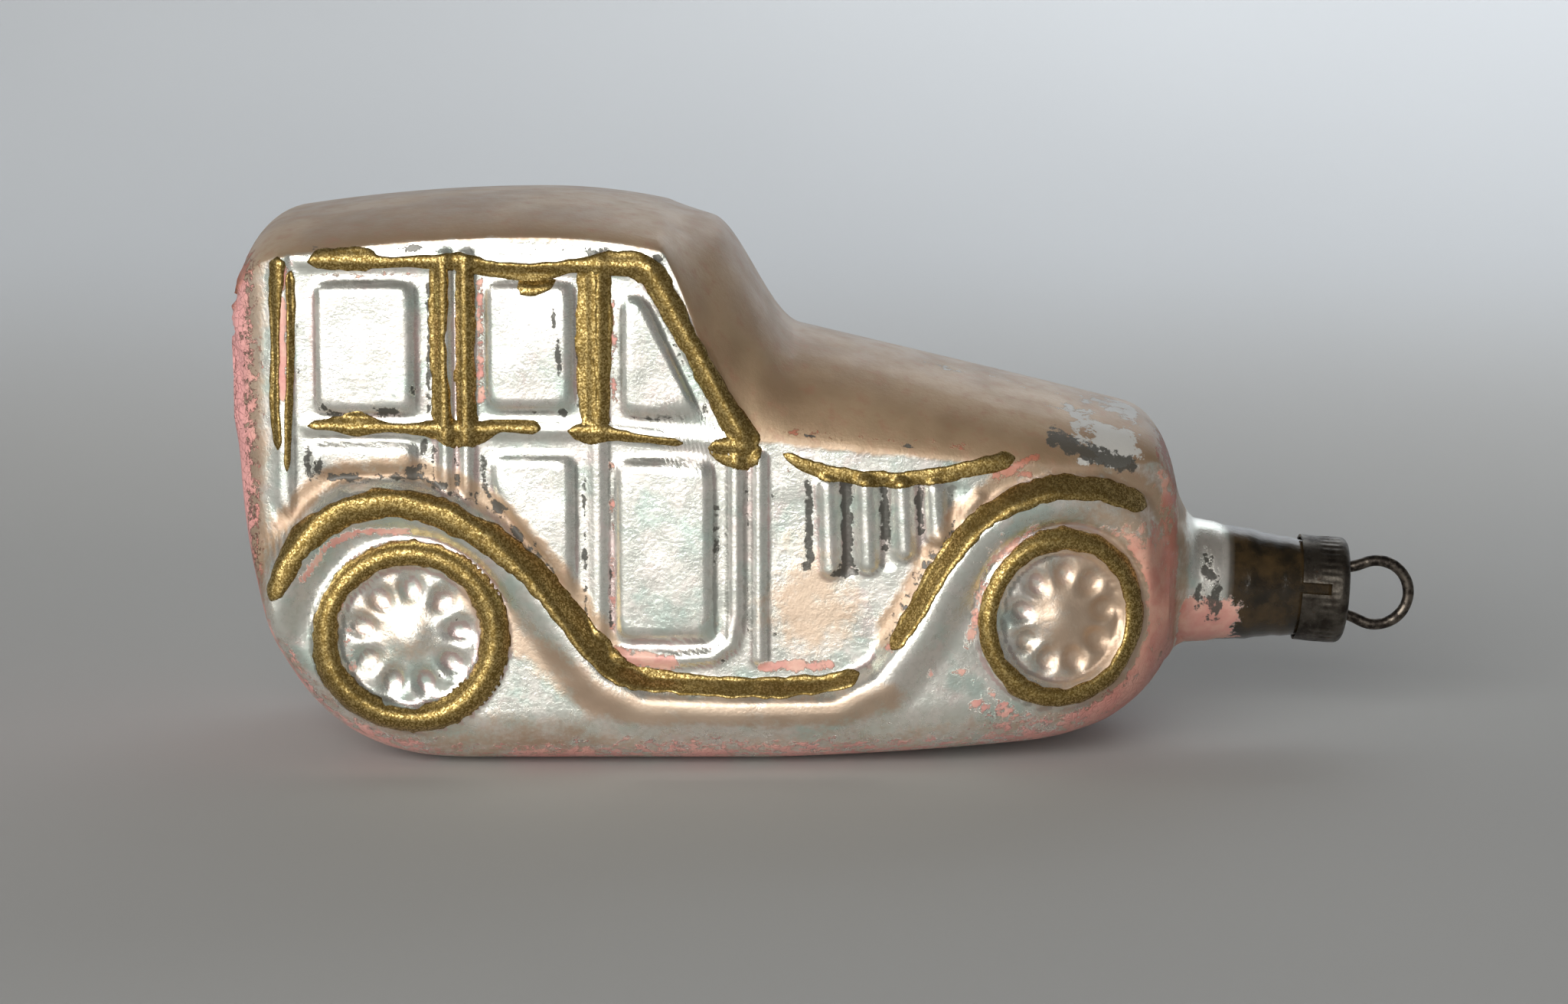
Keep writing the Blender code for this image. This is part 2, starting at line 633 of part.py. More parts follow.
def hanger(parts, axis):
    """The wire hanger: an eye above the cap and two legs that spring apart inside the neck."""
    half = hanger_points()
    whole = half + [(-side, up) for side, up in reversed(half[:-1])]
    obj = wire("hanger_wire", [(0, side, up) for side, up in whole], WIRE_RADIUS, parts)
    obj.parent = axis
    obj.data.materials.append(material("blackened_steel_wire", (0.05, 0.045, 0.04), 0.4, 1.0))
    return obj


def main():
    clear_scene()
    parts = new_collection("glass_car_ornament")
    cutters = new_collection("cutters")
    glass_body(parts, cutters)
    axis = neck_empty(parts)
    cap(parts, cutters, axis)
    hanger(parts, axis)


main()
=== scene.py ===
"""Looks of the glass motor-car ornament: silvered, lacquered and gilded glass, with its cap and wire.

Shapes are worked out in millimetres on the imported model's own box, then turned into metres.
"""

import json
import math

import bpy
import numpy as np
from mathutils import Matrix, Vector

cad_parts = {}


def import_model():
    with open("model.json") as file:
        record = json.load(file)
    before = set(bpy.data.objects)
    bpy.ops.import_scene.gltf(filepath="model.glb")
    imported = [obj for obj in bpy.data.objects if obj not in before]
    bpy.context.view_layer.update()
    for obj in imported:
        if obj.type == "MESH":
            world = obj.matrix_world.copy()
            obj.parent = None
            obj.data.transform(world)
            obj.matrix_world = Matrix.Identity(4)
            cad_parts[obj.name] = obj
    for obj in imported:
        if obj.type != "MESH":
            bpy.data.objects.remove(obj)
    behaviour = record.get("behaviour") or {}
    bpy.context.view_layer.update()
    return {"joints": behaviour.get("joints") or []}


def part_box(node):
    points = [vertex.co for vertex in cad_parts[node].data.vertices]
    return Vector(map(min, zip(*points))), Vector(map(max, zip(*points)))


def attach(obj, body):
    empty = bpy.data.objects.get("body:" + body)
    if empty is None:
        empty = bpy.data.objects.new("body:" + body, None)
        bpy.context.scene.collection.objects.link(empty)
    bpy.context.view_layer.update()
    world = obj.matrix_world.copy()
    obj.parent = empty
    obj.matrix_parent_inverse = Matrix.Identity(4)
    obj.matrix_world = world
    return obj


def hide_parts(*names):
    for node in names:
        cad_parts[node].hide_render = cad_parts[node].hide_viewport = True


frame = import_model()

MM = 0.001
GLASS_LOW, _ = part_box("glass_body")
REAR = GLASS_LOW.x / MM  # the back of the body, in the row frame
NECK_AXIS = Vector(frame["joints"][0]["axis"]).normalized()

# ---- The body's form, as the CAD model has it (millimetres) ----

BODY_LENGTH, BODY_WIDTH, ROOF_HEIGHT, WALL = 73.0, 30.5, 43.8, 0.7
REST_END, REST_WIDTH, LOWER_CORNER, SIDE_LEAN = 40.0, 14.0, 5.0, 0.9
REAR_CORNER, REAR_SWEEP_LENGTH, REAR_SWEEP_HEIGHT, REAR_SWEEP_POWER = 4.4, 18.0, 27.0, 2.6
ROOF_REAR_DROP, ROOF_REAR_LENGTH, ROOF_REAR_CROWN, ROOF_FRONT_CROWN = 3.6, 3.6, 2.1, 2.0
ROOF_PEAK, ROOF_DOME, WINDSCREEN_TOP, WINDSCREEN_FOOT = 22.9, 2.2, 36.4, 43.3
PILLAR_TOP, PILLAR_FOOT = 31.4, 39.7
HOOD_REAR_HEIGHT, HOOD_FRONT_HEIGHT, HOOD_FRONT = 33.1, 27.6, 65.9
HOOD_EDGE_REAR, HOOD_EDGE_FRONT, BELLY_RISE = 26.0, 23.5, 2.4
NOSE_DROP_LENGTH, NOSE_DROP, NOSE_UNDERCUT_LENGTH, NOSE_UNDERCUT = 3.8, 5.5, 12.0, 7.2
NOSE_TAPER_LENGTH, NOSE_HALF_WIDTH, NOSE_FACE_SET_BACK, FACE_ROUNDING = 23.5, 6.0, 0.9, 0.4
NOSE_RISE_POWER, DOME_POWER = 1.5, 0.62
NECK_LENGTH, NECK_ROOT_RADIUS, NECK_MOUTH_RADIUS = 12.0, 5.0, 3.4
NECK_ROOT_HEIGHT, NECK_ROOT_FORWARD = 12.5, 1.4

# Everything on the sides is measured from here: 2.1 mm behind the body's back, 0.75 mm under it
DATUM_X, DATUM_Z = -2.1, -0.75

REAR_WHEEL = (15.45, 11.8)
FRONT_WHEEL = (65.5, 12.9)
REAR_TYRE, FRONT_TYRE = 7.4, 7.0
FRONT_SQUEEZE = 0.93  # the front wheel is narrower than it is high
WHEELS = ((REAR_WHEEL, REAR_TYRE, 1.0), (FRONT_WHEEL, FRONT_TYRE, FRONT_SQUEEZE))
PETALS = 9

# Upper edge of the fenders and running board, as (station, height)
FENDER_EDGE = (
    (2.0, 12.0), (4.3, 18.0), (7.6, 22.2), (10.0, 23.9), (14.7, 24.4), (19.3, 23.1), (22.8, 20.7),
    (26.3, 16.9), (28.9, 13.1), (31.2, 9.9), (33.8, 8.5), (40.0, 8.2), (47.6, 8.3), (50.4, 9.8),
    (52.9, 13.0), (55.0, 17.0), (57.6, 20.6), (60.8, 23.1), (64.4, 24.2), (68.6, 23.9), (72.4, 21.8),
    (75.0, 17.0),
)


def smooth_step(value, start, end):
    t = np.clip((value - start) / (end - start), 0, 1)
    return t * t * (3 - 2 * t)


def fall(value, start, end):
    return 1 - smooth_step(value, start, end)


def round_off(distance, length, depth, power=2):
    t = np.clip(1 - distance / length, 0, 1)
    return depth * (1 - (1 - t**power) ** (1 / power))


def noise(x, z, cell, seed):
    """Smooth seeded noise from -1 to 1, with the given cell size."""
    grid = np.random.default_rng(seed).uniform(-1, 1, (64, 64))
    u, v = np.asarray(x, float) / cell, np.asarray(z, float) / cell
    i, j = np.floor(u).astype(int), np.floor(v).astype(int)
    s, t = u - i, v - j
    s, t = s * s * (3 - 2 * s), t * t * (3 - 2 * t)
    low = grid[i % 64, j % 64] * (1 - s) + grid[(i + 1) % 64, j % 64] * s
    high = grid[i % 64, (j + 1) % 64] * (1 - s) + grid[(i + 1) % 64, (j + 1) % 64] * s
    return low * (1 - t) + high * t


def top_height(x):
    behind = ROOF_REAR_CROWN * ((x - ROOF_PEAK) / ROOF_PEAK) ** 2
    ahead = ROOF_FRONT_CROWN * ((x - ROOF_PEAK) / (WINDSCREEN_TOP - ROOF_PEAK)) ** 2
    roof = ROOF_HEIGHT - np.where(x < ROOF_PEAK, behind, ahead)
    along_hood = (x - WINDSCREEN_FOOT) / (HOOD_FRONT - WINDSCREEN_FOOT)
    hood = HOOD_REAR_HEIGHT + (HOOD_FRONT_HEIGHT - HOOD_REAR_HEIGHT) * along_hood
    height = roof + (hood - roof) * smooth_step(x, WINDSCREEN_TOP, WINDSCREEN_FOOT)
    height = height - round_off(x, ROOF_REAR_LENGTH, ROOF_REAR_DROP)
    return height - round_off(BODY_LENGTH - x, NOSE_DROP_LENGTH, NOSE_DROP)


def under_height(x):
    climb = np.clip((x - REST_END) / (BODY_LENGTH - REST_END), 0, 1) ** NOSE_RISE_POWER
    sweep = round_off(x, REAR_SWEEP_LENGTH, REAR_SWEEP_HEIGHT, REAR_SWEEP_POWER)
    return BELLY_RISE * climb + sweep + round_off(
        BODY_LENGTH - x, NOSE_UNDERCUT_LENGTH, NOSE_UNDERCUT
    )


def edge_height(x):
    along_hood = np.clip((x - PILLAR_FOOT) / (HOOD_FRONT - PILLAR_FOOT), 0, 1)
    hood_edge = HOOD_EDGE_REAR + (HOOD_EDGE_FRONT - HOOD_EDGE_REAR) * along_hood
    roof_edge = ROOF_HEIGHT - ROOF_DOME
    edge = roof_edge + (hood_edge - roof_edge) * smooth_step(x, PILLAR_TOP, PILLAR_FOOT)
    middle = (top_height(x) + under_height(x)) / 2
    return np.maximum(np.minimum(edge, top_height(x) - ROOF_DOME), middle)


def half_width(x):
    taper = BODY_WIDTH / 2 - NOSE_HALF_WIDTH
    at_rear = round_off(x, REAR_CORNER, REAR_CORNER)
    return BODY_WIDTH / 2 - at_rear - round_off(BODY_LENGTH - x, NOSE_TAPER_LENGTH, taper)


def section_sizes(x, inset):
    x = (x - inset) * BODY_LENGTH / (BODY_LENGTH - 2 * inset)
    bottom, top, edge = under_height(x) + inset, top_height(x) - inset, edge_height(x) - inset
    width = half_width(x) - inset
    corner = np.minimum(LOWER_CORNER, (edge - bottom) / 2)
    rest_half = np.minimum(REST_WIDTH / 2, width - corner)
    lean = SIDE_LEAN * (edge - bottom) / ROOF_HEIGHT
    return bottom, top, edge, width, corner, rest_half, lean


def sections(x, rows, inset):
    """(y, z) arrays of the half cross-sections at stations x, from the bottom seam to the top seam."""
    bottom, top, edge, width, corner, rest_half, lean = (
        a[:, None] for a in section_sizes(x, inset)
    )
    rest = np.arange(rows["rest"])[None] / rows["rest"]
    angle = math.pi / 2 * np.arange(rows["corner"])[None] / rows["corner"]
    share = np.arange(rows["side"])[None] / rows["side"]
    across = np.cos(math.pi / 2 * np.arange(rows["dome"] + 1)[None] / rows["dome"])
    straight = edge - bottom - corner
    y = [
        rest_half * rest,
        rest_half + (width - rest_half) * np.sin(angle),
        width - lean * share,
        (width - lean) * across,
    ]
    z = [
        bottom + 0 * rest,
        bottom + corner * (1 - np.cos(angle)),
        bottom + corner + straight * share,
        edge + (top - edge) * (1 - across * across) ** DOME_POWER,
    ]
    return np.concatenate(y, 1), np.concatenate(z, 1)


def smooth_side(x, z):
    """How far the smooth body stands from its middle plane at stations x and heights z."""
    bottom, top, edge, width, corner, rest_half, lean = section_sizes(x, 0)
    below = np.clip((bottom + corner - z) / corner, 0, 1)
    y_corner = rest_half + (width - rest_half) * np.sqrt(1 - below * below)
    share = np.clip((z - bottom - corner) / (edge - bottom - corner), 0, 1)
    up = np.clip((z - edge) / (top - edge), 0, 1)
    y_dome = (width - lean) * np.sqrt(np.maximum(1 - up ** (1 / DOME_POWER), 0))
    return np.where(z < bottom + corner, y_corner, np.where(z < edge, width - lean * share, y_dome))


# ---- The mould's relief (millimetres, on each side) ----

def path_distance(x, z, path):
    nearest = np.full(np.shape(x), np.inf)
    for (x0, z0), (x1, z1) in zip(path, path[1:]):
        run, rise = x1 - x0, z1 - z0
        along = np.clip(((x - x0) * run + (z - z0) * rise) / (run * run + rise * rise), 0, 1)
        nearest = np.minimum(nearest, np.hypot(x - x0 - along * run, z - z0 - along * rise))
    return nearest


def inside_distance(x, z, corners, rounding):
    """Soft depth inside a convex outline, its corners anticlockwise, rounded where sides meet."""
    total = 0
    for (x0, z0), (x1, z1) in zip(corners, corners[1:] + corners[:1]):
        length = math.hypot(x1 - x0, z1 - z0)
        depth = ((x1 - x0) * (z - z0) - (z1 - z0) * (x - x0)) / length
        total = total + np.exp(-np.clip(depth, -20, 40) / rounding)
    return -rounding * np.log(total)


def ridge(x, z, path, half, height):
    across = np.clip(path_distance(x, z, path) / half, 0, 1)
    return height * (1 - across**2) ** 1.5


# Raised panels: corners, width of the soft edge, height
PANELS = (
    ([(8.3, 28.9), (16.2, 28.9), (16.2, 39.2), (8.3, 39.2)], 0.7, 0.6),
    ([(21.3, 29.2), (28.2, 29.2), (28.2, 39.2), (21.3, 39.2)], 0.7, 0.6),
    ([(31.6, 28.7), (38.0, 28.7), (33.4, 38.2), (31.6, 38.2)], 0.65, 0.55),
    ([(7.7, 24.3), (16.2, 24.3), (16.2, 26.9), (7.7, 26.9)], 0.6, 0.45),
    ([(21.6, 22.9), (28.2, 14.0), (28.2, 25.9), (21.6, 25.9)], 0.65, 0.5),
    ([(31.1, 11.4), (38.8, 11.4), (38.8, 25.6), (31.1, 25.6)], 0.75, 0.6),
)
# Beads: points, half-width, height
BEADS = (
    ([(18.3, 41.0), (18.3, 23.4)], 0.75, 0.6),
    ([(19.9, 41.0), (19.9, 23.0)], 0.75, 0.6),
    ([(29.9, 40.6), (29.9, 12.0)], 0.9, 0.4),
    ([(5.9, 41.2), (6.1, 33.0), (6.0, 22.0)], 0.8, 0.4),
    ([(8.0, 28.0), (20.0, 27.8), (30.0, 27.7), (37.5, 27.0), (41.0, 26.4)], 0.75, 0.35),
    ([(7.6, 40.7), (20.0, 40.7), (33.6, 40.3)], 0.8, 0.3),
    ([(33.9, 40.0), (37.2, 34.0), (40.9, 27.4)], 1.0, 0.45),
    ([(40.4, 25.4), (40.4, 13.5), (40.0, 11.2), (38.6, 10.2), (36.0, 10.0), (31.0, 10.2)], 0.75, 0.5),
    ([(42.2, 25.6), (42.2, 10.0)], 0.65, 0.45),
    ([(51.6, 10.6), (54.0, 14.8), (56.2, 19.0), (59.0, 22.4)], 0.7, 0.35),
)
LOUVRES = ((47.4, 23.4, 17.0), (50.3, 23.5, 17.4), (53.1, 23.3, 18.4), (55.6, 23.1, 19.6))


def wheel_relief(x, z, centre, radius, squeeze):
    """Height of a wheel's face and how far the wheel rules there, at stations x and heights z."""
    dx, dz = (x - centre[0]) / squeeze, z - centre[1]
    r, turn = np.hypot(dx, dz), np.arctan2(dz, dx)
    tyre_width = 1.9
    tyre = np.clip(np.abs(r - (radius - tyre_width / 2)) / (tyre_width / 2 + 0.15), 0, 1)
    hub = radius - tyre_width
    face = 0.25 + 0.95 * (1 - tyre**2) ** 0.75
    face = face + 0.45 * fall(r, 0.2, 2.2) + 0.2 * fall(r, 4.0, 5.6)
    off = (((turn * PETALS / math.tau + 0.3) % 1) - 0.5) * math.tau / PETALS * r
    dimple = np.hypot((r - hub * 0.68) / (hub * 0.27), off / (0.12 * r + 0.8))
    face = face - 0.55 * fall(dimple, 0.3, 1.1)
    rule = fall(r, radius - 0.15, radius + 0.75)
    return face, rule


def relief(x, z):
    """How far the mould's relief stands out of the smooth body, at a station and height of the body."""
    x, z = x - DATUM_X, z - DATUM_Z
    height = 0.07 * noise(x, z, 5.0, 3) + 0.03 * noise(x, z, 1.9, 4)
    for corners, soft, rise in PANELS:
        height = height + rise * smooth_step(inside_distance(x, z, corners, 0.35), -0.1, soft)
    for path, half, rise in BEADS:
        height = np.maximum(height, height * 0.3 + ridge(x, z, path, half, rise))
    for station, high, low in LOUVRES:
        leaning = [(station, high), (station + 0.25, low)]
        height = height + ridge(x, z, leaning, 0.95, 0.6)
        height = height - ridge(x, z, [(station + 1.45, high), (station + 1.6, low)], 0.6, 0.22)
    stations, heights = np.array(FENDER_EDGE).T
    sign = np.where(z < np.interp(x, stations, heights), 1, -1)
    depth = sign * path_distance(x, z, FENDER_EDGE)
    lower = 1.6 * smooth_step(depth, -0.2, 1.6) - 1.25 * smooth_step(depth, 2.1, 4.8)
    height = height * fall(depth, -0.4, 0.8) + lower
    for centre, radius, squeeze in WHEELS:
        face, rule = wheel_relief(x, z, centre, radius, squeeze)
        height = height * (1 - rule) + face * rule
    return height


def relief_share(x, y):
    """The mould's relief works where the surface faces sideways, and fades towards the seams."""
    ends = smooth_step(x, 0.4, 3.0) * fall(x, 69.9, 72.1)
    return smooth_step(y / half_width(x), 0.5, 0.85) * ends


def groove(x, z):
    """How hollow the relief is there: above 0 in grooves and along the feet of ridges."""
    step = 0.45
    around = relief(x + step, z) + relief(x - step, z) + relief(x, z + step) + relief(x, z - step)
    return (around - 4 * relief(x, z)) / step**2


def skin(x, z):
    """How far the moulded surface stands from the middle plane."""
    y = smooth_side(x, z)
    return y + relief(x, z) * relief_share(x, y)


# ---- Meshes ----

def new_mesh(name, points, faces):
    data = bpy.data.meshes.new(name)
    data.from_pydata(points, [], faces)
    return data


def linked_object(name, data):
    obj = bpy.data.objects.new(name, data)
    bpy.context.scene.collection.objects.link(obj)
    return obj


def mesh_object(name, points, faces, body):
    """A smooth-shaded mesh from points in millimetres."""
    data = new_mesh(name, (np.asarray(points) * MM).tolist(), faces)
    data.update()
    data.shade_smooth()
    obj = linked_object(name, data)
    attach(obj, body)
    return obj


def loft_faces(rings, count, first=0):
    """Quads between successive closed rings of equal point counts."""
    i, j = np.meshgrid(np.arange(rings - 1), np.arange(count), indexing="ij")
    a = first + i * count + j
    b = first + i * count + (j + 1) % count
    return np.stack([a, b, b + count, a + count], -1).reshape(-1, 4).tolist()


def set_attribute(obj, name, values):
    attribute = obj.data.attributes.new(name, "FLOAT", "POINT")
    attribute.data.foreach_set("value", np.asarray(values, np.float32))


OUTER_ROWS = {"rest": 6, "corner": 12, "side": 94, "dome": 34}
BODY_STATIONS, REAR_STATIONS, NOSE_STATIONS, FACE_RINGS, NECK_RINGS = 200, 14, 24, 20, 30
BACK_RINGS = 24


def stations(inset):
    start, end = inset, BODY_LENGTH - NOSE_FACE_SET_BACK - inset
    rear = start + REAR_CORNER * (1 - np.cos(math.pi / 2 * np.arange(REAR_STATIONS) / REAR_STATIONS))
    nose_start = end - NOSE_DROP_LENGTH
    middle = np.linspace(start + REAR_CORNER, nose_start, BODY_STATIONS, endpoint=False)
    nose = nose_start + NOSE_DROP_LENGTH * np.sin(np.linspace(0, math.pi / 2, NOSE_STATIONS))
    return np.concatenate([rear, middle, nose])


NECK_UP = NECK_AXIS.cross(Vector((0, 1, 0)))
NECK_ROOT = np.array([BODY_LENGTH + NECK_ROOT_FORWARD, 0, NECK_ROOT_HEIGHT])
NECK_RUN = np.array(NECK_AXIS)
NECK_MOUTH = NECK_ROOT + NECK_LENGTH * NECK_RUN


def neck_radius(from_mouth):
    return NECK_MOUTH_RADIUS + (NECK_ROOT_RADIUS - NECK_MOUTH_RADIUS) * from_mouth / NECK_LENGTH


def neck_ring(along, radius, angles):
    """Ring of the neck, its angles measured from straight down, round by the left side."""
    centre = NECK_ROOT + along * NECK_RUN
    up = -np.cos(angles)[:, None] * np.array(NECK_UP)
    side = np.sin(angles)[:, None] * np.array([0.0, 1.0, 0.0])
    return centre + radius * (up + side)


def full_ring(half):
    """A whole ring from its half: up the left side, over the top seam and down the right side."""
    other = half[-2:0:-1].copy()
    other[:, 1] *= -1
    return np.concatenate([half, other])


def paint_flakes(ring):
    """How far the thick, flaking paint stands out on the back of the body."""
    x, y, z = ring.T
    flake = noise(y + 30, z, 0.9, 41) + 0.4 * noise(y, z, 0.4, 42)
    high = smooth_step(z, 25.5, 28) * fall(z, 36, 40)
    return 0.42 * smooth_step(flake, -0.2, 0.5) * high * fall(x, 0.3, 1.6)


def body_rings():
    """The outer skin's rings of points, from the back of the body to the mouth of the neck."""
    x = stations(0)
    y, z = sections(x, OUTER_ROWS, 0)
    wide = np.repeat(x[:, None], y.shape[1], 1)
    y = y + relief(wide, z) * relief_share(wide, y)
    rings = [full_ring(np.stack([wide[i], y[i], z[i]], -1)) for i in range(len(x))]
    count = len(rings[0])
    middle = np.array([0, 0, (rings[0][:, 2].min() + rings[0][:, 2].max()) / 2])
    shares = np.linspace(0.02, 1, BACK_RINGS, endpoint=False)
    rings = [middle + (rings[0] - middle) * share for share in shares] + rings
    for ring in rings:
        ring[:, 0] -= paint_flakes(ring)
    angles = math.tau * np.arange(count) / count
    last, root = rings[-1], neck_ring(0, NECK_ROOT_RADIUS, angles)
    for i in range(1, FACE_RINGS + 1):
        t = i / (FACE_RINGS + 1)
        forward = FACE_ROUNDING * (1 - (1 - t) ** 3) + (1 - FACE_ROUNDING) * t**4
        ring = last * (1 - t) + root * t
        ring[:, 0] = last[:, 0] + (root[:, 0] - last[:, 0]) * forward
        rings.append(ring)
    for i in range(NECK_RINGS + 1):
        along = NECK_LENGTH * i / NECK_RINGS
        wobble = 0.05 * math.sin(along * 1.7) + 0.03 * math.sin(along * 4.1 + 1)
        fade = min(1, along / 2) * fall(along, NECK_LENGTH - 5, NECK_LENGTH - 3.5)
        rings.append(neck_ring(along, neck_radius(NECK_LENGTH - along) + wobble * fade, angles))
    return rings, angles


def inner_rings(angles):
    """The rounded lip and the hollow behind it, seen through the open mouth once the cap is off."""
    rings = []
    steps, lip_bulge = 5, 0.25
    for i in range(1, steps):
        lean = math.pi * i / steps
        radius = NECK_MOUTH_RADIUS - WALL / 2 * (1 - math.cos(lean))
        rings.append(neck_ring(NECK_LENGTH + lip_bulge * math.sin(lean), radius, angles))
    for i in range(steps + 1):
        along = NECK_LENGTH * (1 - i / steps)
        rings.append(neck_ring(along, neck_radius(NECK_LENGTH - along) - WALL, angles))
    x = stations(WALL)[::-3]
    y, z = sections(x, OUTER_ROWS, WALL)
    for i in range(len(x)):
        half = np.stack([np.full(y.shape[1], x[i]), y[i], z[i]], -1)
        rings.append(full_ring(half))
    return rings


# ---- Wear, as masks from 0 to 1 on the surface ----

def spots(x, z, marks):
    """Soft blots: each mark is station, height, half-length, half-height and strength."""
    cover = np.zeros(np.shape(x))
    for px, pz, rx, rz, strength in marks:
        d = np.hypot((x - px) / rx, (z - pz) / rz)
        cover = np.maximum(cover, strength * fall(d, 0.1, 1.7))
    return cover


def strokes(x, z, marks):
    cover = np.zeros(np.shape(x))
    for path, half, strength in marks:
        d = path_distance(x, z, path) / half
        cover = np.maximum(cover, strength * fall(d, 0.2, 1.7))
    return cover


# Dark marks of lost silvering. Many sit on the lower and right edges of panes and panels, the side turned
# from the light; there they are partly lost silvering and partly painted shade.
DARK_SPOTS = (
    (15.9, 41.6, 0.7, 0.4, 1.0), (29.8, 41.2, 1.3, 0.6, 1.0), (34.5, 40.9, 0.6, 0.4, 1.0),
    (8.6, 25.0, 0.5, 0.8, 0.9), (11.0, 24.1, 2.4, 0.45, 0.9), (15.6, 24.6, 0.6, 0.8, 0.8),
    (27.0, 33.2, 0.35, 1.6, 0.9), (27.3, 29.0, 0.5, 0.4, 0.9), (33.4, 28.8, 0.5, 0.35, 0.8),
    (37.5, 28.9, 0.8, 0.4, 0.9), (38.9, 20.0, 0.3, 3.6, 0.75), (41.3, 21.0, 0.3, 3.0, 0.7),
    (45.8, 17.2, 0.5, 0.5, 1.0), (48.7, 16.8, 1.2, 0.6, 0.9), (13.7, 29.2, 1.6, 0.5, 0.8),
    (15.9, 30.6, 0.4, 1.2, 0.7), (8.9, 29.6, 0.5, 0.4, 0.8), (26.6, 36.4, 0.3, 1.0, 0.7),
    (46.1, 27.2, 0.5, 0.25, 0.9), (53.4, 26.4, 0.6, 0.25, 0.9), (22.4, 21.8, 0.8, 0.35, 0.8),
    (25.0, 18.6, 0.35, 0.9, 0.7), (18.0, 23.6, 0.9, 0.3, 0.8), (20.5, 22.7, 0.5, 0.5, 0.8),
    (17.6, 26.3, 0.35, 0.9, 0.6), (20.9, 25.2, 0.3, 1.2, 0.7), (39.6, 9.8, 0.8, 0.3, 0.6),
    (12.0, 6.9, 0.8, 0.5, 0.5), (17.4, 9.0, 0.7, 0.6, 0.6), (18.9, 12.9, 0.8, 0.5, 0.5),
    (64.2, 17.6, 0.6, 0.5, 0.5), (62.6, 10.4, 0.5, 0.6, 0.5), (77.6, 15.2, 0.8, 1.6, 0.8),
    (76.9, 12.6, 0.5, 1.8, 0.8), (78.4, 12.8, 1.0, 2.8, 0.85),
)
# Dark strokes of lost silvering. Those along the lower and right edges of panes and panels and in the
# louvre grooves are partly painted shade.
DARK_STROKES = (
    ([(46.0, 23.6), (46.1, 17.6)], 0.35, 0.9), ([(48.8, 23.8), (49.0, 17.4)], 0.5, 1.0),
    ([(51.7, 23.4), (51.9, 18.6)], 0.4, 0.9), ([(54.4, 23.2), (54.6, 19.8)], 0.4, 0.75),
    ([(56.9, 22.8), (57.1, 21.2)], 0.3, 0.6), ([(7.2, 29.6), (7.2, 38.6)], 0.22, 0.35),
    ([(17.1, 29.2), (17.2, 39.2)], 0.34, 0.66), ([(28.5, 29.4), (28.6, 38.6)], 0.34, 0.66),
    ([(9.4, 28.9), (16.8, 28.9)], 0.34, 0.7), ([(22.4, 29.1), (28.2, 28.9)], 0.26, 0.55),
    ([(32.6, 28.7), (38.4, 28.6)], 0.3, 0.66), ([(35.6, 34.6), (38.2, 29.4)], 0.28, 0.6),
    ([(7.8, 26.8), (7.7, 24.2), (16.4, 24.1), (16.7, 27.0)], 0.4, 0.68),
    ([(21.2, 25.6), (21.3, 23.0), (27.6, 14.4)], 0.34, 0.66),
    ([(28.9, 13.6), (28.8, 25.6)], 0.3, 0.6), ([(30.9, 12.0), (30.8, 25.4)], 0.28, 0.55),
    ([(52.4, 12.0), (54.8, 16.6), (57.2, 20.2)], 0.8, 0.55), ([(41.3, 12.0), (41.3, 25.0)], 0.26, 0.55),
    ([(17.3, 26.8), (17.4, 23.2)], 0.3, 0.66), ([(19.1, 26.6), (19.2, 22.6)], 0.3, 0.66),
    ([(8.0, 41.5), (33.0, 41.5)], 0.3, 0.4), ([(43.4, 24.6), (43.4, 10.6)], 0.22, 0.45),
    ([(39.6, 11.4), (39.7, 24.6)], 0.25, 0.35), ([(17.2, 23.6), (22.6, 21.2), (26.6, 16.6)], 0.25, 0.6),
)
PINK_STROKES = (
    ([(6.0, 40.2), (6.0, 38.8)], 0.5, 1.0), ([(6.0, 37.6), (5.9, 30.4)], 0.5, 1.0),
    ([(7.3, 16.4), (9.2, 19.0), (11.6, 20.0), (15.4, 20.0)], 0.4, 0.85),
    ([(31.0, 10.3), (35.4, 9.7)], 0.75, 0.9), ([(42.5, 9.4), (47.6, 9.5)], 0.55, 0.8),
    ([(21.0, 39.2), (21.0, 29.8)], 0.4, 0.66), ([(31.1, 37.4), (31.1, 30.0)], 0.4, 0.62),
    ([(30.9, 25.4), (31.0, 12.4)], 0.4, 0.5), ([(8.4, 39.6), (16.0, 39.6)], 0.35, 0.5),
    ([(44.0, 27.6), (58.0, 26.4)], 0.45, 0.46), ([(10.2, 14.6), (11.0, 9.2)], 0.6, 0.5),
    ([(60.4, 24.0), (63.4, 25.4)], 0.5, 0.7), ([(58.2, 11.0), (59.8, 17.4), (63.6, 20.4)], 0.5, 0.62),
)
PINK_SPOTS = (
    (62.5, 24.1, 1.0, 0.35, 0.8), (52.2, 11.0, 0.6, 0.6, 0.8), (29.0, 11.6, 0.8, 0.5, 0.6),
    (21.6, 18.9, 0.7, 0.5, 0.7), (57.6, 8.9, 0.8, 0.6, 0.7), (59.4, 6.3, 1.6, 0.7, 0.7),
    (61.3, 5.2, 1.2, 0.5, 0.8), (55.4, 9.0, 0.4, 0.9, 0.6), (17.4, 22.2, 0.6, 0.3, 0.5),
    (44.4, 24.6, 0.6, 0.3, 0.5), (72.9, 13.5, 1.2, 3.0, 0.6),
)
LACQUER_SPOTS = (
    (23.0, 5.0, 7.0, 3.5, 0.2), (45.8, 14.6, 4.8, 4.0, 0.5), (44.5, 18.6, 3.0, 3.0, 0.3),
    (65.5, 12.9, 6.5, 6.5, 0.4), (14.0, 12.6, 5.5, 6.0, 0.3),
)
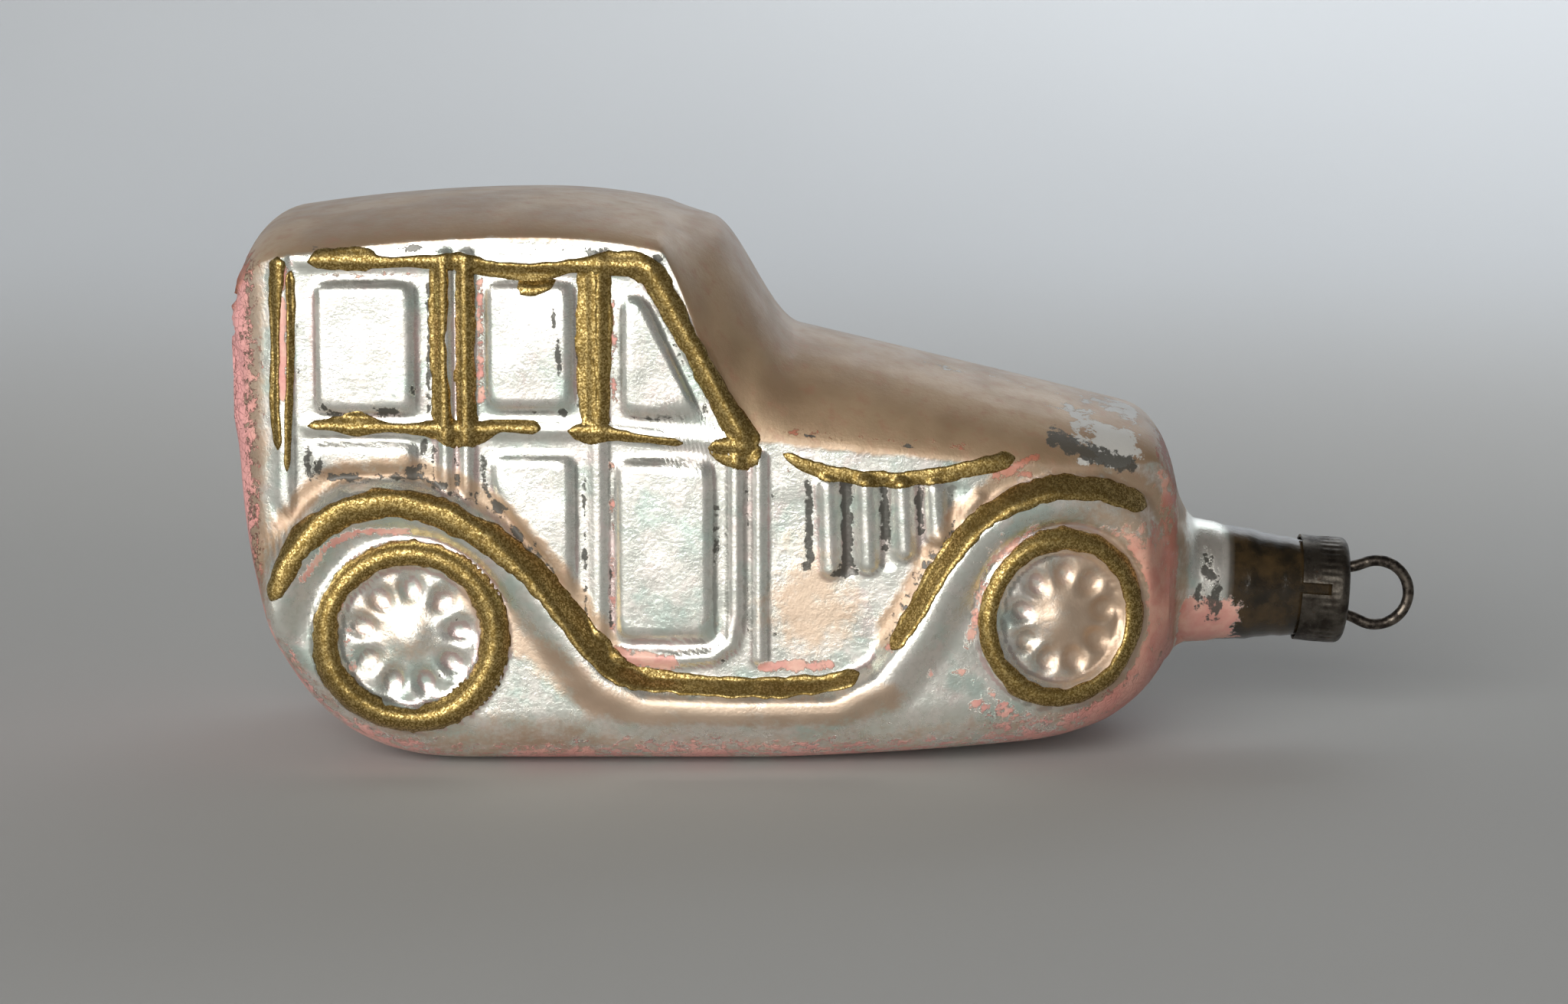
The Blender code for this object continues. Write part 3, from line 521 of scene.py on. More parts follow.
# Painted shade: tan strokes on the running board's upward face, drawn as the dim room overhead reflected
# there.
BOARD_SHADE = (
    ([(20.5, 14.8), (25, 11.0), (30, 7.0), (33, 6.2), (48, 6.1), (52, 7.2)], 1.7, 0.75),
)
HOOD_END_LOSS = (([(64.9, 26.6), (67.6, 25.4), (70.8, 24.4)], 0.75, 0.85),)
FAR_SIDE_SHIFT = 37.0  # moves the noise along, so that the far side wears in its own way


def chipped(x, y, dome):
    """Chips in the lacquer: broad ones at the hood's front, and a row on each side of its middle."""
    front = smooth_step(x, 61, 68) * fall(x, 71, 73.5) * dome
    beside_middle = fall(np.abs(np.abs(y) - 3.2), 0.5, 1.6)
    return np.maximum(
        front * (0.6 + 0.5 * noise(x, y + 40, 2.4, 21)),
        smooth_step(x, 46, 56) * dome * beside_middle * 0.5,
    )


def pink_paint(x, z, along, round_neck, crust, bottom):
    """The pink paint: stains on the side, and the painted back, bottom, front and root of the neck."""
    pink = np.maximum.reduce([
        strokes(x, z, PINK_STROKES), spots(x, z, PINK_SPOTS), crust * 0.9, bottom
    ])
    before_neck = fall(x, 74.6, 75.6)
    front = smooth_step(x, 55.5, 61.0) * fall(z, 17.0, 23.5) * before_neck
    wheel = np.hypot((x - FRONT_WHEEL[0]) / FRONT_SQUEEZE, z - FRONT_WHEEL[1])
    front_strength = 0.54 + 0.26 * smooth_step(x, 64, 70)
    pink = np.maximum(pink, front_strength * front * smooth_step(wheel, 6.9, 7.9))
    rear = fall(x, 2.6, 6.4) * fall(z, 40, 43)
    rear = np.maximum(rear, fall(x, 5.0, 10.0) * fall(z, 9.0, 16.0))
    pink = np.maximum(pink, 0.68 * rear)
    tip = smooth_step(x, 71.2, 74.0) * fall(z, 25.0, 28.0) * before_neck
    pink = np.maximum(pink, 0.62 * tip)
    neck_patch = smooth_step(along, -1.4, -0.6) * fall(along, 1.8, 6.2)
    neck_patch = neck_patch * fall(np.abs(round_neck + 38), 22, 46)
    return np.maximum(pink, neck_patch)


def body_masks(points, hollow):
    """Masks for points of the outer skin.

    lacquer_and_shade: tan lacquer, and tan as painted shade on the upward faces of the fenders and running
    board,
    thick_and_shaded: where the lacquer is thick, and where it is drawn darker as painted shade, dark: lost
    silvering, and painted shade along the lower and right edges of panes and panels and in the louvre
    grooves, pink: pink paint,
    crust: where that is thick and crackled, chips: chipped lacquer, groove: grooves stained pink and grey,
    the grey partly painted shade in the hollows, neck: the bare brown neck.
    """
    x, y, z = points.T
    side = np.where(y < 0, 0.0, FAR_SIDE_SHIFT)
    dome = smooth_step(z - edge_height(x), -0.7, 0.6)
    over_bottom = z - under_height(x)
    along = (points - NECK_ROOT) @ NECK_RUN
    middle_heights = [NECK_ROOT_HEIGHT, 11.7]  # at the root and at the mouth
    neck_middle = np.interp(along, [0, NECK_LENGTH], middle_heights)
    round_neck = np.degrees(np.arctan2(z - neck_middle, -y))
    x, z = x - DATUM_X, z - DATUM_Z
    mottled = noise(x + side, z, 4.2, 11) + 0.5 * noise(x + side, z, 1.6, 12)
    back = fall(x, 3.4, 6.2)
    low = fall(over_bottom, 1.5, 7.5)
    nose = smooth_step(x, 58.0, 72.0)
    # Painted shade: the upward-facing band just above the fender edge gets tan lacquer, drawn as the dim
    # room overhead reflected there.
    ledge = fall(path_distance(x, z - 0.6, FENDER_EDGE), 0.3, 1.9)
    ledge = ledge * (1 - smooth_step(x, 31, 33) * fall(x, 50, 52))
    board = strokes(x, z, BOARD_SHADE)
    # The lacquer mask is real lacquer on the roof, hood, back, bottom and nose, and painted shade on the
    # ledge and board.
    lacquer_and_shade = np.maximum.reduce([dome, back * 0.8, low * 0.5, nose * 0.62, ledge * 0.75, board])
    lacquer_and_shade = np.maximum(lacquer_and_shade, 0.16 + 0.14 * mottled)
    lacquer_and_shade = lacquer_and_shade + spots(x, z, LACQUER_SPOTS)
    dark = np.maximum(spots(x, z, DARK_SPOTS), strokes(x, z, DARK_STROKES))
    dark = dark * np.clip(1 + 0.3 * mottled, 0, 1)
    dark = np.maximum(dark, strokes(x, z, HOOD_END_LOSS))
    seam = fall(over_bottom, 0.8, 5.6) * fall(x, 74.2, 75.2)
    crust = fall(x, 2.2, 4.8) * smooth_step(z, 10, 20) * fall(z, 39, 42)
    bottom = seam * (0.64 + 0.16 * mottled + 0.2 * back)
    pink = pink_paint(x, z, along, round_neck, crust, bottom)
    chips = chipped(x, y, dome)
    neck = smooth_step(along, 1.9, 3.0) * smooth_step(x, 76, 77)
    keep = 1 - neck
    return {
        "lacquer_and_shade": np.clip(lacquer_and_shade, 0, 1) * (1 - smooth_step(x, 75.6, 76.6) * 0.85),
        # Where the lacquer is drawn darker tan: partly thick lacquer, partly painted shade on the roof,
        # hood and upward faces.
        "thick_and_shaded": np.clip(np.maximum.reduce([dome, 0.7 * ledge, 0.35 * nose]), 0, 1),
        "dark": np.clip(dark, 0, 1) * keep,
        "pink": np.clip(pink, 0, 1),
        "chips": np.clip(chips, 0, 1) * fall(x, 74.0, 75.0),
        "groove": np.clip(hollow * 0.5, 0, 1) * keep,
        "neck": neck,
        "crust": np.clip(crust + 0.5 * seam, 0, 1) * keep,
    }


def glass_body():
    rings, angles = body_rings()
    outer = len(rings)
    count = len(rings[0])
    rings = rings + inner_rings(angles)
    points = np.concatenate(rings)
    faces = loft_faces(len(rings), count)
    faces.append(list(range(count - 1, -1, -1)))
    last = (len(rings) - 1) * count
    faces.append(list(range(last, last + count)))
    moved = points + np.array([REAR, 0, 0])
    obj = mesh_object("glass_shell", moved, faces, "glass")
    hollow = groove(points[:, 0], points[:, 2]) * relief_share(points[:, 0], np.abs(points[:, 1]))
    masks = body_masks(points, hollow)
    for name, values in masks.items():
        values[outer * count:] = 1 if name == "neck" else 0
        set_attribute(obj, name, values)
    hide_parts("glass_body")
    return obj


# ---- Gold paint, laid on as raised strokes ----

# Brush strokes, each a list of (station, height, full width)
BRUSH_STROKES = (
    [(8.0, 40.6, 1.0), (9.4, 40.8, 1.9), (12.4, 40.8, 1.9), (13.6, 40.6, 1.0), (17.2, 40.6, 1.1),
     (19.4, 40.6, 1.6), (22.2, 40.0, 1.3), (25.4, 39.8, 1.5), (28.4, 40.3, 1.3), (31.2, 40.4, 2.0),
     (33.6, 40.0, 2.3), (35.1, 37.9, 2.1), (36.6, 35.0, 1.9), (38.2, 31.9, 1.8), (39.8, 29.0, 2.1),
     (41.0, 27.0, 2.6), (41.6, 25.9, 2.4)],
    [(17.9, 41.0, 1.3), (17.9, 38.0, 1.6), (17.8, 34.0, 1.5), (18.0, 30.5, 1.65), (18.2, 27.4, 1.8)],
    [(19.9, 41.0, 1.3), (19.9, 38.0, 1.8), (19.9, 34.0, 1.65), (19.9, 30.5, 1.75), (20.1, 27.2, 1.9)],
    [(29.1, 40.6, 1.5), (29.2, 37.0, 1.8), (29.1, 33.0, 1.8), (29.2, 30.0, 1.6), (29.4, 27.6, 1.7)],
    [(30.4, 40.5, 1.2), (30.4, 36.0, 1.4), (30.2, 33.0, 1.5), (30.3, 30.5, 1.2), (30.2, 27.6, 1.4)],
    [(24.0, 39.2, 1.0), (24.6, 38.6, 1.5), (25.6, 38.7, 1.2), (26.8, 39.2, 0.9)],
    [(7.8, 28.1, 0.7), (9.4, 28.2, 1.0), (11.2, 28.2, 1.9), (12.4, 28.1, 1.7), (14.4, 27.9, 0.7),
     (17.2, 27.8, 1.5), (19.2, 27.4, 2.3), (20.8, 27.6, 1.9), (22.6, 28.1, 1.1), (25.6, 27.9, 1.2)],
    [(27.6, 27.7, 1.0), (29.3, 27.5, 1.8), (31.2, 27.4, 1.2), (33.4, 27.1, 0.7), (36.4, 26.7, 0.8)],
    [(38.2, 26.2, 1.1), (39.8, 26.2, 2.4), (41.4, 26.0, 2.7), (42.4, 26.3, 1.8)],
    [(5.8, 41.0, 1.7), (5.5, 38.0, 1.1), (5.4, 34.0, 0.8), (5.3, 30.0, 0.8), (5.5, 26.2, 0.7)],
    [(6.7, 40.0, 0.8), (6.7, 37.0, 0.7), (6.6, 33.0, 0.6), (6.4, 29.0, 0.6), (6.2, 24.6, 0.5)],
    [(4.9, 14.8, 1.2), (5.6, 16.4, 1.8), (7.4, 19.4, 2.2), (10.6, 21.6, 2.4), (14.1, 22.2, 2.4),
     (17.6, 21.6, 2.4), (21.4, 19.6, 2.4), (24.8, 16.9, 2.2), (27.6, 13.6, 2.2), (29.8, 10.9, 2.2),
     (32.2, 8.9, 1.9), (36.0, 8.2, 1.6), (42.6, 7.9, 1.5), (47.6, 8.2, 1.4), (49.9, 9.0, 1.1)],
    [(52.3, 10.9, 1.1), (53.6, 12.9, 1.5), (55.4, 16.0, 1.7), (57.4, 19.0, 1.8), (60.0, 21.4, 1.8),
     (64.2, 23.0, 1.9), (68.2, 22.9, 1.7), (70.6, 21.9, 1.7), (72.2, 21.1, 1.3)],
    [(44.0, 25.9, 0.8), (46.0, 24.9, 1.2), (48.6, 24.2, 1.3), (52.4, 23.9, 1.3), (56.0, 24.2, 1.3),
     (59.6, 24.9, 1.5), (61.8, 25.4, 1.4)],
)
# Width of the gold ring on each wheel, at even steps round it
REAR_RING_WIDTHS = (
    2.5, 2.6, 2.5, 2.3, 2.1, 2.1, 2.0, 2.0, 2.0, 1.9, 1.9, 2.0, 1.9, 1.9, 2.0, 2.1,
    2.2, 2.3, 2.3, 2.4, 2.4, 2.3, 2.3, 2.4, 2.5, 2.6, 2.7, 2.6, 2.5, 2.5,
)
FRONT_RING_WIDTHS = (
    1.5, 1.5, 1.6, 1.7, 1.7, 1.6, 1.7, 1.8, 1.9, 1.8, 1.7, 1.6, 1.5, 1.5, 1.6, 1.6,
    1.5, 1.5, 1.6, 1.7, 1.8, 1.7, 1.7, 1.6, 1.6, 1.5, 1.5, 1.4, 1.4, 1.5,
)
RING_END = 348  # degrees, one step short of the whole turn
REAR_RING_RADIUS, FRONT_RING_RADIUS = 6.55, 6.2
GOLD_STEP = 0.3
GOLD_THICKNESS = 0.13
GOLD_ACROSS = 11
GOLD_ROOT = 0.16  # how deep a stroke's hidden underside lies in the glass
GOLD_TIP = 0.7  # the length over which a stroke's end narrows
GOLD_SEED, SEEDS_EACH, FAR_SIDE_SEED = 100, 7, 500
SPAN_STEPS = 24  # points between two marks of a stroke


def wheel_ring(centre, radius, widths, squeeze=None):
    """Points of the gold ring round a wheel, as (station, height, full width)."""
    ring = []
    for angle, width in zip(np.radians(np.linspace(0, RING_END, len(widths))), widths):
        station = centre[0] + radius * math.cos(angle)
        if squeeze:
            station = centre[0] + (station - centre[0]) * squeeze
        ring.append((station, centre[1] + radius * math.sin(angle), width))
    return ring


def spline_through(points, closed):
    """Evenly spaced points along a smooth curve through the given ones."""
    p = np.array(points, float)
    if closed:
        p = np.concatenate([p[-1:], p, p[:2]])
    else:
        p = np.concatenate([2 * p[:1] - p[1:2], p, 2 * p[-1:] - p[-2:-1]])
    t = np.linspace(0, 1, SPAN_STEPS, endpoint=False)[:, None]
    fine = []
    for a, b, c, d in zip(p, p[1:], p[2:], p[3:]):
        fine.append(0.5 * (2 * b + (c - a) * t + (2 * a - 5 * b + 4 * c - d) * t**2
                           + (3 * b - a - 3 * c + d) * t**3))
    fine = np.concatenate(fine + [p[-2:-1]])
    run = np.concatenate([[0], np.cumsum(np.hypot(*np.diff(fine[:, :2], axis=0).T))])
    count = max(int(run[-1] / GOLD_STEP), 4)
    where = np.linspace(0, run[-1], count, endpoint=not closed)
    return np.stack([np.interp(where, run, fine[:, k]) for k in range(3)], -1), where


def uneven_edge(half_widths, where, row, seed):
    """The half-widths of one edge of a stroke, made uneven along its run."""
    start = np.zeros_like(where)
    long_waves = 0.13 * noise(where, start + row, 1.3, seed)
    return half_widths * (1 + long_waves + 0.1 * noise(where, start, 0.5, seed + 1))


def stroke_rings(points, closed, side, seed):
    """Cross-section rings of one painted stroke, lying on the skin of one side."""
    line, where = spline_through(points, closed)
    line = line + np.array([DATUM_X, DATUM_Z, 0])
    if closed:
        ahead, behind = np.roll(line, -1, 0), np.roll(line, 1, 0)
    else:
        ahead, behind = np.concatenate([line[1:], line[-1:]]), np.concatenate([line[:1], line[:-1]])
    run = (ahead - behind)[:, :2]
    run /= np.linalg.norm(run, axis=1, keepdims=True)
    normal = np.stack([-run[:, 1], run[:, 0]], -1)
    total = where[-1]
    to_end = np.minimum(where, total - where)
    fade = 1.0 if closed else np.sqrt(np.clip(to_end / GOLD_TIP, 0.02, 1))
    left = uneven_edge(line[:, 2] / 2, where, 3, seed)
    right = uneven_edge(line[:, 2] / 2, where, 9, seed + 2)
    if closed:
        blend = smooth_step(where, total - 3, total)
        left, right = left * (1 - blend) + left[0] * blend, right * (1 - blend) + right[0] * blend
    across = np.linspace(-1, 1, GOLD_ACROSS)[None]
    reach = np.where(across < 0, left[:, None], right[:, None]) * across * np.reshape(fade, (-1, 1))
    x = line[:, 0][:, None] + normal[:, 0][:, None] * reach
    z = line[:, 1][:, None] + normal[:, 1][:, None] * reach
    step = 0.02
    y = skin(x, z)
    slope_x = (skin(x + step, z) - skin(x - step, z)) / (2 * step)
    slope_z = (skin(x, z + step) - skin(x, z - step)) / (2 * step)
    length = np.sqrt(1 + slope_x**2 + slope_z**2)
    bulge = (1 - across**2) ** 0.35 * np.reshape(fade, (-1, 1))
    grain = 0.03 * noise(x, z, 0.45, seed + 5)
    edge_dip = 0.05 * (across**2 > 0.99)  # the edges go into the glass
    lift = (GOLD_THICKNESS + grain) * bulge - edge_dip
    top = np.stack([x - slope_x / length * lift, y + lift / length, z - slope_z / length * lift], -1)
    picks = [GOLD_ACROSS - 2, GOLD_ACROSS // 2, 1]
    under = np.stack([
        x + slope_x / length * GOLD_ROOT, y - GOLD_ROOT / length, z + slope_z / length * GOLD_ROOT
    ], -1)[:, picks]
    rings = np.concatenate([top, under], 1)
    rings[..., 1] *= side
    return rings


def gold_paint():
    marks = [(False, stroke) for stroke in BRUSH_STROKES] + [
        (True, wheel_ring(REAR_WHEEL, REAR_RING_RADIUS, REAR_RING_WIDTHS)),
        (True, wheel_ring(FRONT_WHEEL, FRONT_RING_RADIUS, FRONT_RING_WIDTHS, FRONT_SQUEEZE)),
    ]
    points, faces = [], []
    first = 0
    for side in (-1, 1):
        for number, (closed, stroke) in enumerate(marks):
            seed = GOLD_SEED + number * SEEDS_EACH + (FAR_SIDE_SEED if side > 0 else 0)
            rings = stroke_rings(stroke, closed, side, seed)
            count, ring = rings.shape[:2]
            made = loft_faces(count, ring, first)
            if closed:
                a = first + (count - 1) * ring
                for j in range(ring):
                    made.append([a + j, a + (j + 1) % ring, first + (j + 1) % ring, first + j])
            else:
                made.append([first + j for j in range(ring)][::-1])
                made.append([first + (count - 1) * ring + j for j in range(ring)])
            if side < 0:
                made = [f[::-1] for f in made]
            faces += made
            points.append(rings.reshape(-1, 3))
            first += count * ring
    points = np.concatenate(points) + np.array([REAR, 0, 0])
    return mesh_object("gold_paint", points, faces, "glass")


# ---- Cap and wire ----

CAP_SHEET, CAP_GAP, CAP_SKIRT, CAP_HEADROOM, CAP_CORNER = 0.2, 0.2, 3.3, 0.3, 0.7
SLOT_COUNT, SLOT_WIDTH, SLOT_LENGTH, SLOT_TURN = 4, 0.9, 2.3, math.radians(10)
WIRE_RADIUS, EYE_RADIUS, EYE_CENTRE, LEG_LENGTH = 0.45, 2.6, 2.6, 15.0
HOLE_CLEARANCE, LEG_CLEARANCE = 0.3, 0.3
CAP_INNER = neck_radius(CAP_SKIRT) + CAP_GAP
CAP_OUTER = CAP_INNER + CAP_SHEET
LEG_SPREAD = NECK_MOUTH_RADIUS - WALL - WIRE_RADIUS - LEG_CLEARANCE
CROWN_TOP = CAP_HEADROOM + CAP_SHEET
CAP_SEGMENTS = 240
CROWN_DOME = 0.05
RIBS, RIB_DEPTH, DENT_DEPTH = 44, 0.02, 0.05


def neck_frame():
    """Matrix from neck coordinates (X out to the right side, Y up, Z along the neck) to the row frame.

    The neck coordinates are left-handed, so a mesh brought over has its faces turned round afterwards.
    """
    axis, up = NECK_AXIS, NECK_UP
    turn = Matrix((up.cross(axis) * -1, up, axis)).transposed().to_4x4()
    mouth = Vector(NECK_MOUTH + np.array([REAR, 0, 0])) * MM
    return Matrix.Translation(mouth) @ turn @ Matrix.Scale(MM, 4)


def cap_profile():
    """The cap's outer half-section as (radius, height), from the crown's middle to the skirt's edge."""
    crown = np.linspace(0.02, CAP_OUTER - CAP_CORNER, 10)
    points = [(r, CROWN_TOP + CROWN_DOME * (1 - (r / CAP_OUTER) ** 2)) for r in crown]
    for i in range(1, 9):
        angle = math.pi / 2 * (1 - i / 8)
        points.append((CAP_OUTER - CAP_CORNER + CAP_CORNER * math.cos(angle),
                       CROWN_TOP - CAP_CORNER + CAP_CORNER * math.sin(angle)))
    for z in np.linspace(CROWN_TOP - CAP_CORNER - 0.15, -CAP_SKIRT, 18):
        points.append((CAP_OUTER, z))
    return points


def cap():
    profile = np.array(cap_profile())
    inner = profile[::-1].copy()
    inner[:, 0] = np.minimum(inner[:, 0], CAP_OUTER) - CAP_SHEET * np.clip(inner[:, 0], 0, 1)
    inner[:, 0] = np.maximum(inner[:, 0], 0.01)
    inner[:, 1] -= CAP_SHEET * (inner[:, 1] > CROWN_TOP - CAP_CORNER)
    loop = np.concatenate([profile, inner])
    turn = math.tau * np.arange(CAP_SEGMENTS) / CAP_SEGMENTS
    points = []
    for r, z in loop:
        on_skirt = smooth_step(-z, 0.2, 0.5) * fall(-z, 1.5, 2.2) * (r > 2)
        ribs = RIB_DEPTH * np.cos(turn * RIBS) * on_skirt
        dents = DENT_DEPTH * noise(turn * 2.2, turn * 0 + z, 1.0, 31) * (r > 3)
        radius = r + ribs + dents * smooth_step(-z, 0.2, 3.0)
        height = np.full(len(turn), z)
        points.append(np.stack([radius * np.cos(turn), radius * np.sin(turn), height], -1))
    points = np.concatenate(points)
    faces = [f[::-1] for f in loft_faces(len(loop), CAP_SEGMENTS)]
    last = (len(loop) - 1) * CAP_SEGMENTS
    for j in range(CAP_SEGMENTS):
        k = (j + 1) % CAP_SEGMENTS
        faces.append([j, k, last + k, last + j])
    obj = linked_object("cap_shell", new_mesh("cap_shell", points.tolist(), faces))
    cutters = []
    for i in range(SLOT_COUNT):
        bpy.ops.mesh.primitive_cube_add(size=1)
        slot = bpy.context.object
        slot.scale = (CAP_OUTER, SLOT_WIDTH, 2 * SLOT_LENGTH)
        angle = SLOT_TURN + math.tau * i / SLOT_COUNT
        slot.location = (CAP_OUTER * math.cos(angle), CAP_OUTER * math.sin(angle), -CAP_SKIRT)
        slot.rotation_euler = (0, 0, angle)
        cutters.append(slot)
    for side in (-1, 1):
        bpy.ops.mesh.primitive_cylinder_add(radius=WIRE_RADIUS + HOLE_CLEARANCE, depth=2, vertices=48)
        hole = bpy.context.object
        hole.location = (0, side * LEG_SPREAD, CROWN_TOP)
        cutters.append(hole)
    for number, cutter in enumerate(cutters):
        modifier = obj.modifiers.new(f"cut_{number}", "BOOLEAN")
        modifier.operation = "DIFFERENCE"
        modifier.solver = "EXACT"
        modifier.object = cutter
    bpy.context.view_layer.update()
    made = bpy.data.meshes.new_from_object(obj.evaluated_get(bpy.context.evaluated_depsgraph_get()))
    obj.modifiers.clear()
    obj.data = made
    for cutter in cutters:
        bpy.data.objects.remove(cutter)
    made.transform(neck_frame())
    made.flip_normals()
    made.update()
    made.shade_smooth()
    made.set_sharp_from_angle(angle=math.radians(38))
    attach(obj, "cap")
    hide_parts("cap")
    return obj


def hanger():
    """The wire: legs, shoulders and a slightly uneven eye, as a swept round tube with closed ends."""
    heights = (-LEG_LENGTH, -8.0, -2.0, WIRE_RADIUS * 0.6)  # along a leg, from the crown's top
    half = [(LEG_SPREAD, CROWN_TOP + height) for height in heights]
    eye_start, eye_sweep, eye_steps = -20, 110, 13
    for i in range(eye_steps + 1):
        angle = math.radians(eye_start + eye_sweep * i / eye_steps)
        half.append((EYE_RADIUS * math.cos(angle), CROWN_TOP + EYE_CENTRE + EYE_RADIUS * math.sin(angle)))
    line = half + [(-s, u) for s, u in reversed(half[:-1])]
    smooth, _ = spline_through([(s, u, 0) for s, u in line], False)
    centre = smooth[:, :2]
    count = len(centre)
    ahead = np.concatenate([centre[1:], centre[-1:]])
    behind = np.concatenate([centre[:1], centre[:-1]])
    run = ahead - behind
    run /= np.linalg.norm(run, axis=1, keepdims=True)
    sides = 20
    turn = math.tau * np.arange(sides) / sides
    points = []
    for i in range(count):
        radius = WIRE_RADIUS * (1 - 0.02 * math.sin(i * 0.7))
        normal = np.array([-run[i, 1], run[i, 0]])
        for a in turn:
            side_up = centre[i] + radius * math.cos(a) * normal
            points.append((radius * math.sin(a), side_up[0], side_up[1]))
    faces = loft_faces(count, sides)
    faces.append(list(range(sides))[::-1])
    faces.append([(count - 1) * sides + j for j in range(sides)])
    data = new_mesh("hanger", points, faces)
    data.transform(neck_frame())
    data.flip_normals()
    data.update()
    data.shade_smooth()
    obj = linked_object("hanger", data)
    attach(obj, "hanger")
    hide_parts("hanger_wire")
    return obj


# ---- Materials ----

class Nodes:
    """Short names for the shader nodes that the materials use."""

    def __init__(self, name):
        self.material = bpy.data.materials.new(name)
        self.material.use_nodes = True
        self.tree = self.material.node_tree
        self.shader = self.tree.nodes["Principled BSDF"]
        self.place = self.node("TexCoord").outputs["Object"]

    def node(self, kind):
        return self.tree.nodes.new("ShaderNode" + kind)

    def put(self, value, socket):
        if isinstance(value, bpy.types.NodeSocket):
            self.tree.links.new(value, socket)
        elif isinstance(value, tuple):
            socket.default_value = (*value, 1) if len(value) == 3 else value
        else:
            socket.default_value = value

    def math(self, operation, a, b, clamp=False):
        node = self.node("Math")
        node.operation = operation
        node.use_clamp = clamp
        self.put(a, node.inputs[0])
        self.put(b, node.inputs[1])
        return node.outputs[0]

    def times(self, a, b, clamp=False):
        return self.math("MULTIPLY", a, b, clamp)

    def plus(self, a, b):
        return self.math("ADD", a, b)

    def minus(self, a, b):
        return self.math("SUBTRACT", a, b)

    def mix(self, share, a, b, kind="RGBA"):
        node = self.node("Mix")
        node.data_type = kind
        at = {"RGBA": (6, 7, 2), "FLOAT": (2, 3, 0)}[kind]
        self.put(share, node.inputs[0])
        self.put(a, node.inputs[at[0]])
        self.put(b, node.inputs[at[1]])
        return node.outputs[at[2]]

    def number(self, share, a, b):
        return self.mix(share, a, b, "FLOAT")

    def noise(self, size, detail=3.0, roughness=0.55):
        """Noise whose features are about size millimetres."""
        node = self.node("TexNoise")
        node.inputs["Scale"].default_value = 1 / (size * MM)
        node.inputs["Detail"].default_value = detail
        node.inputs["Roughness"].default_value = roughness
        self.put(self.place, node.inputs["Vector"])
        return node.outputs["Fac"]

    def cells(self, size, output="Distance", feature="F1"):
        node = self.node("TexVoronoi")
        node.feature = feature
        node.inputs["Scale"].default_value = 1 / (size * MM)
        self.put(self.place, node.inputs["Vector"])
        return node.outputs[output]

    def attribute(self, name):
        node = self.node("Attribute")
        node.attribute_name = name
        return node.outputs["Fac"]

    def between(self, value, low, high):
        """0 below low, 1 above high, smooth between."""
        node = self.node("MapRange")
        node.interpolation_type = "SMOOTHSTEP"
        self.put(value, node.inputs[0])
        node.inputs[1].default_value = low
        node.inputs[2].default_value = high
        return node.outputs[0]

    def ragged(self, mask, grain, low, high, reach=1.1):
        """A mask whose edge is broken up by a noise, more so the larger the reach."""
        shifted = self.plus(mask, self.times(self.minus(grain, 0.5), reach))
        return self.between(shifted, low, high)

    def bump(self, height, distance, strength=1.0, after=None):
        node = self.node("Bump")
        node.inputs["Strength"].default_value = strength
        node.inputs["Distance"].default_value = distance * MM
        self.put(height, node.inputs["Height"])
        if after is not None:
            self.put(after, node.inputs["Normal"])
        return node.outputs[0]

    def surface(self, **values):
        for name, value in values.items():
            self.put(value, self.shader.inputs[name.replace("_", " ")])
        return self.material


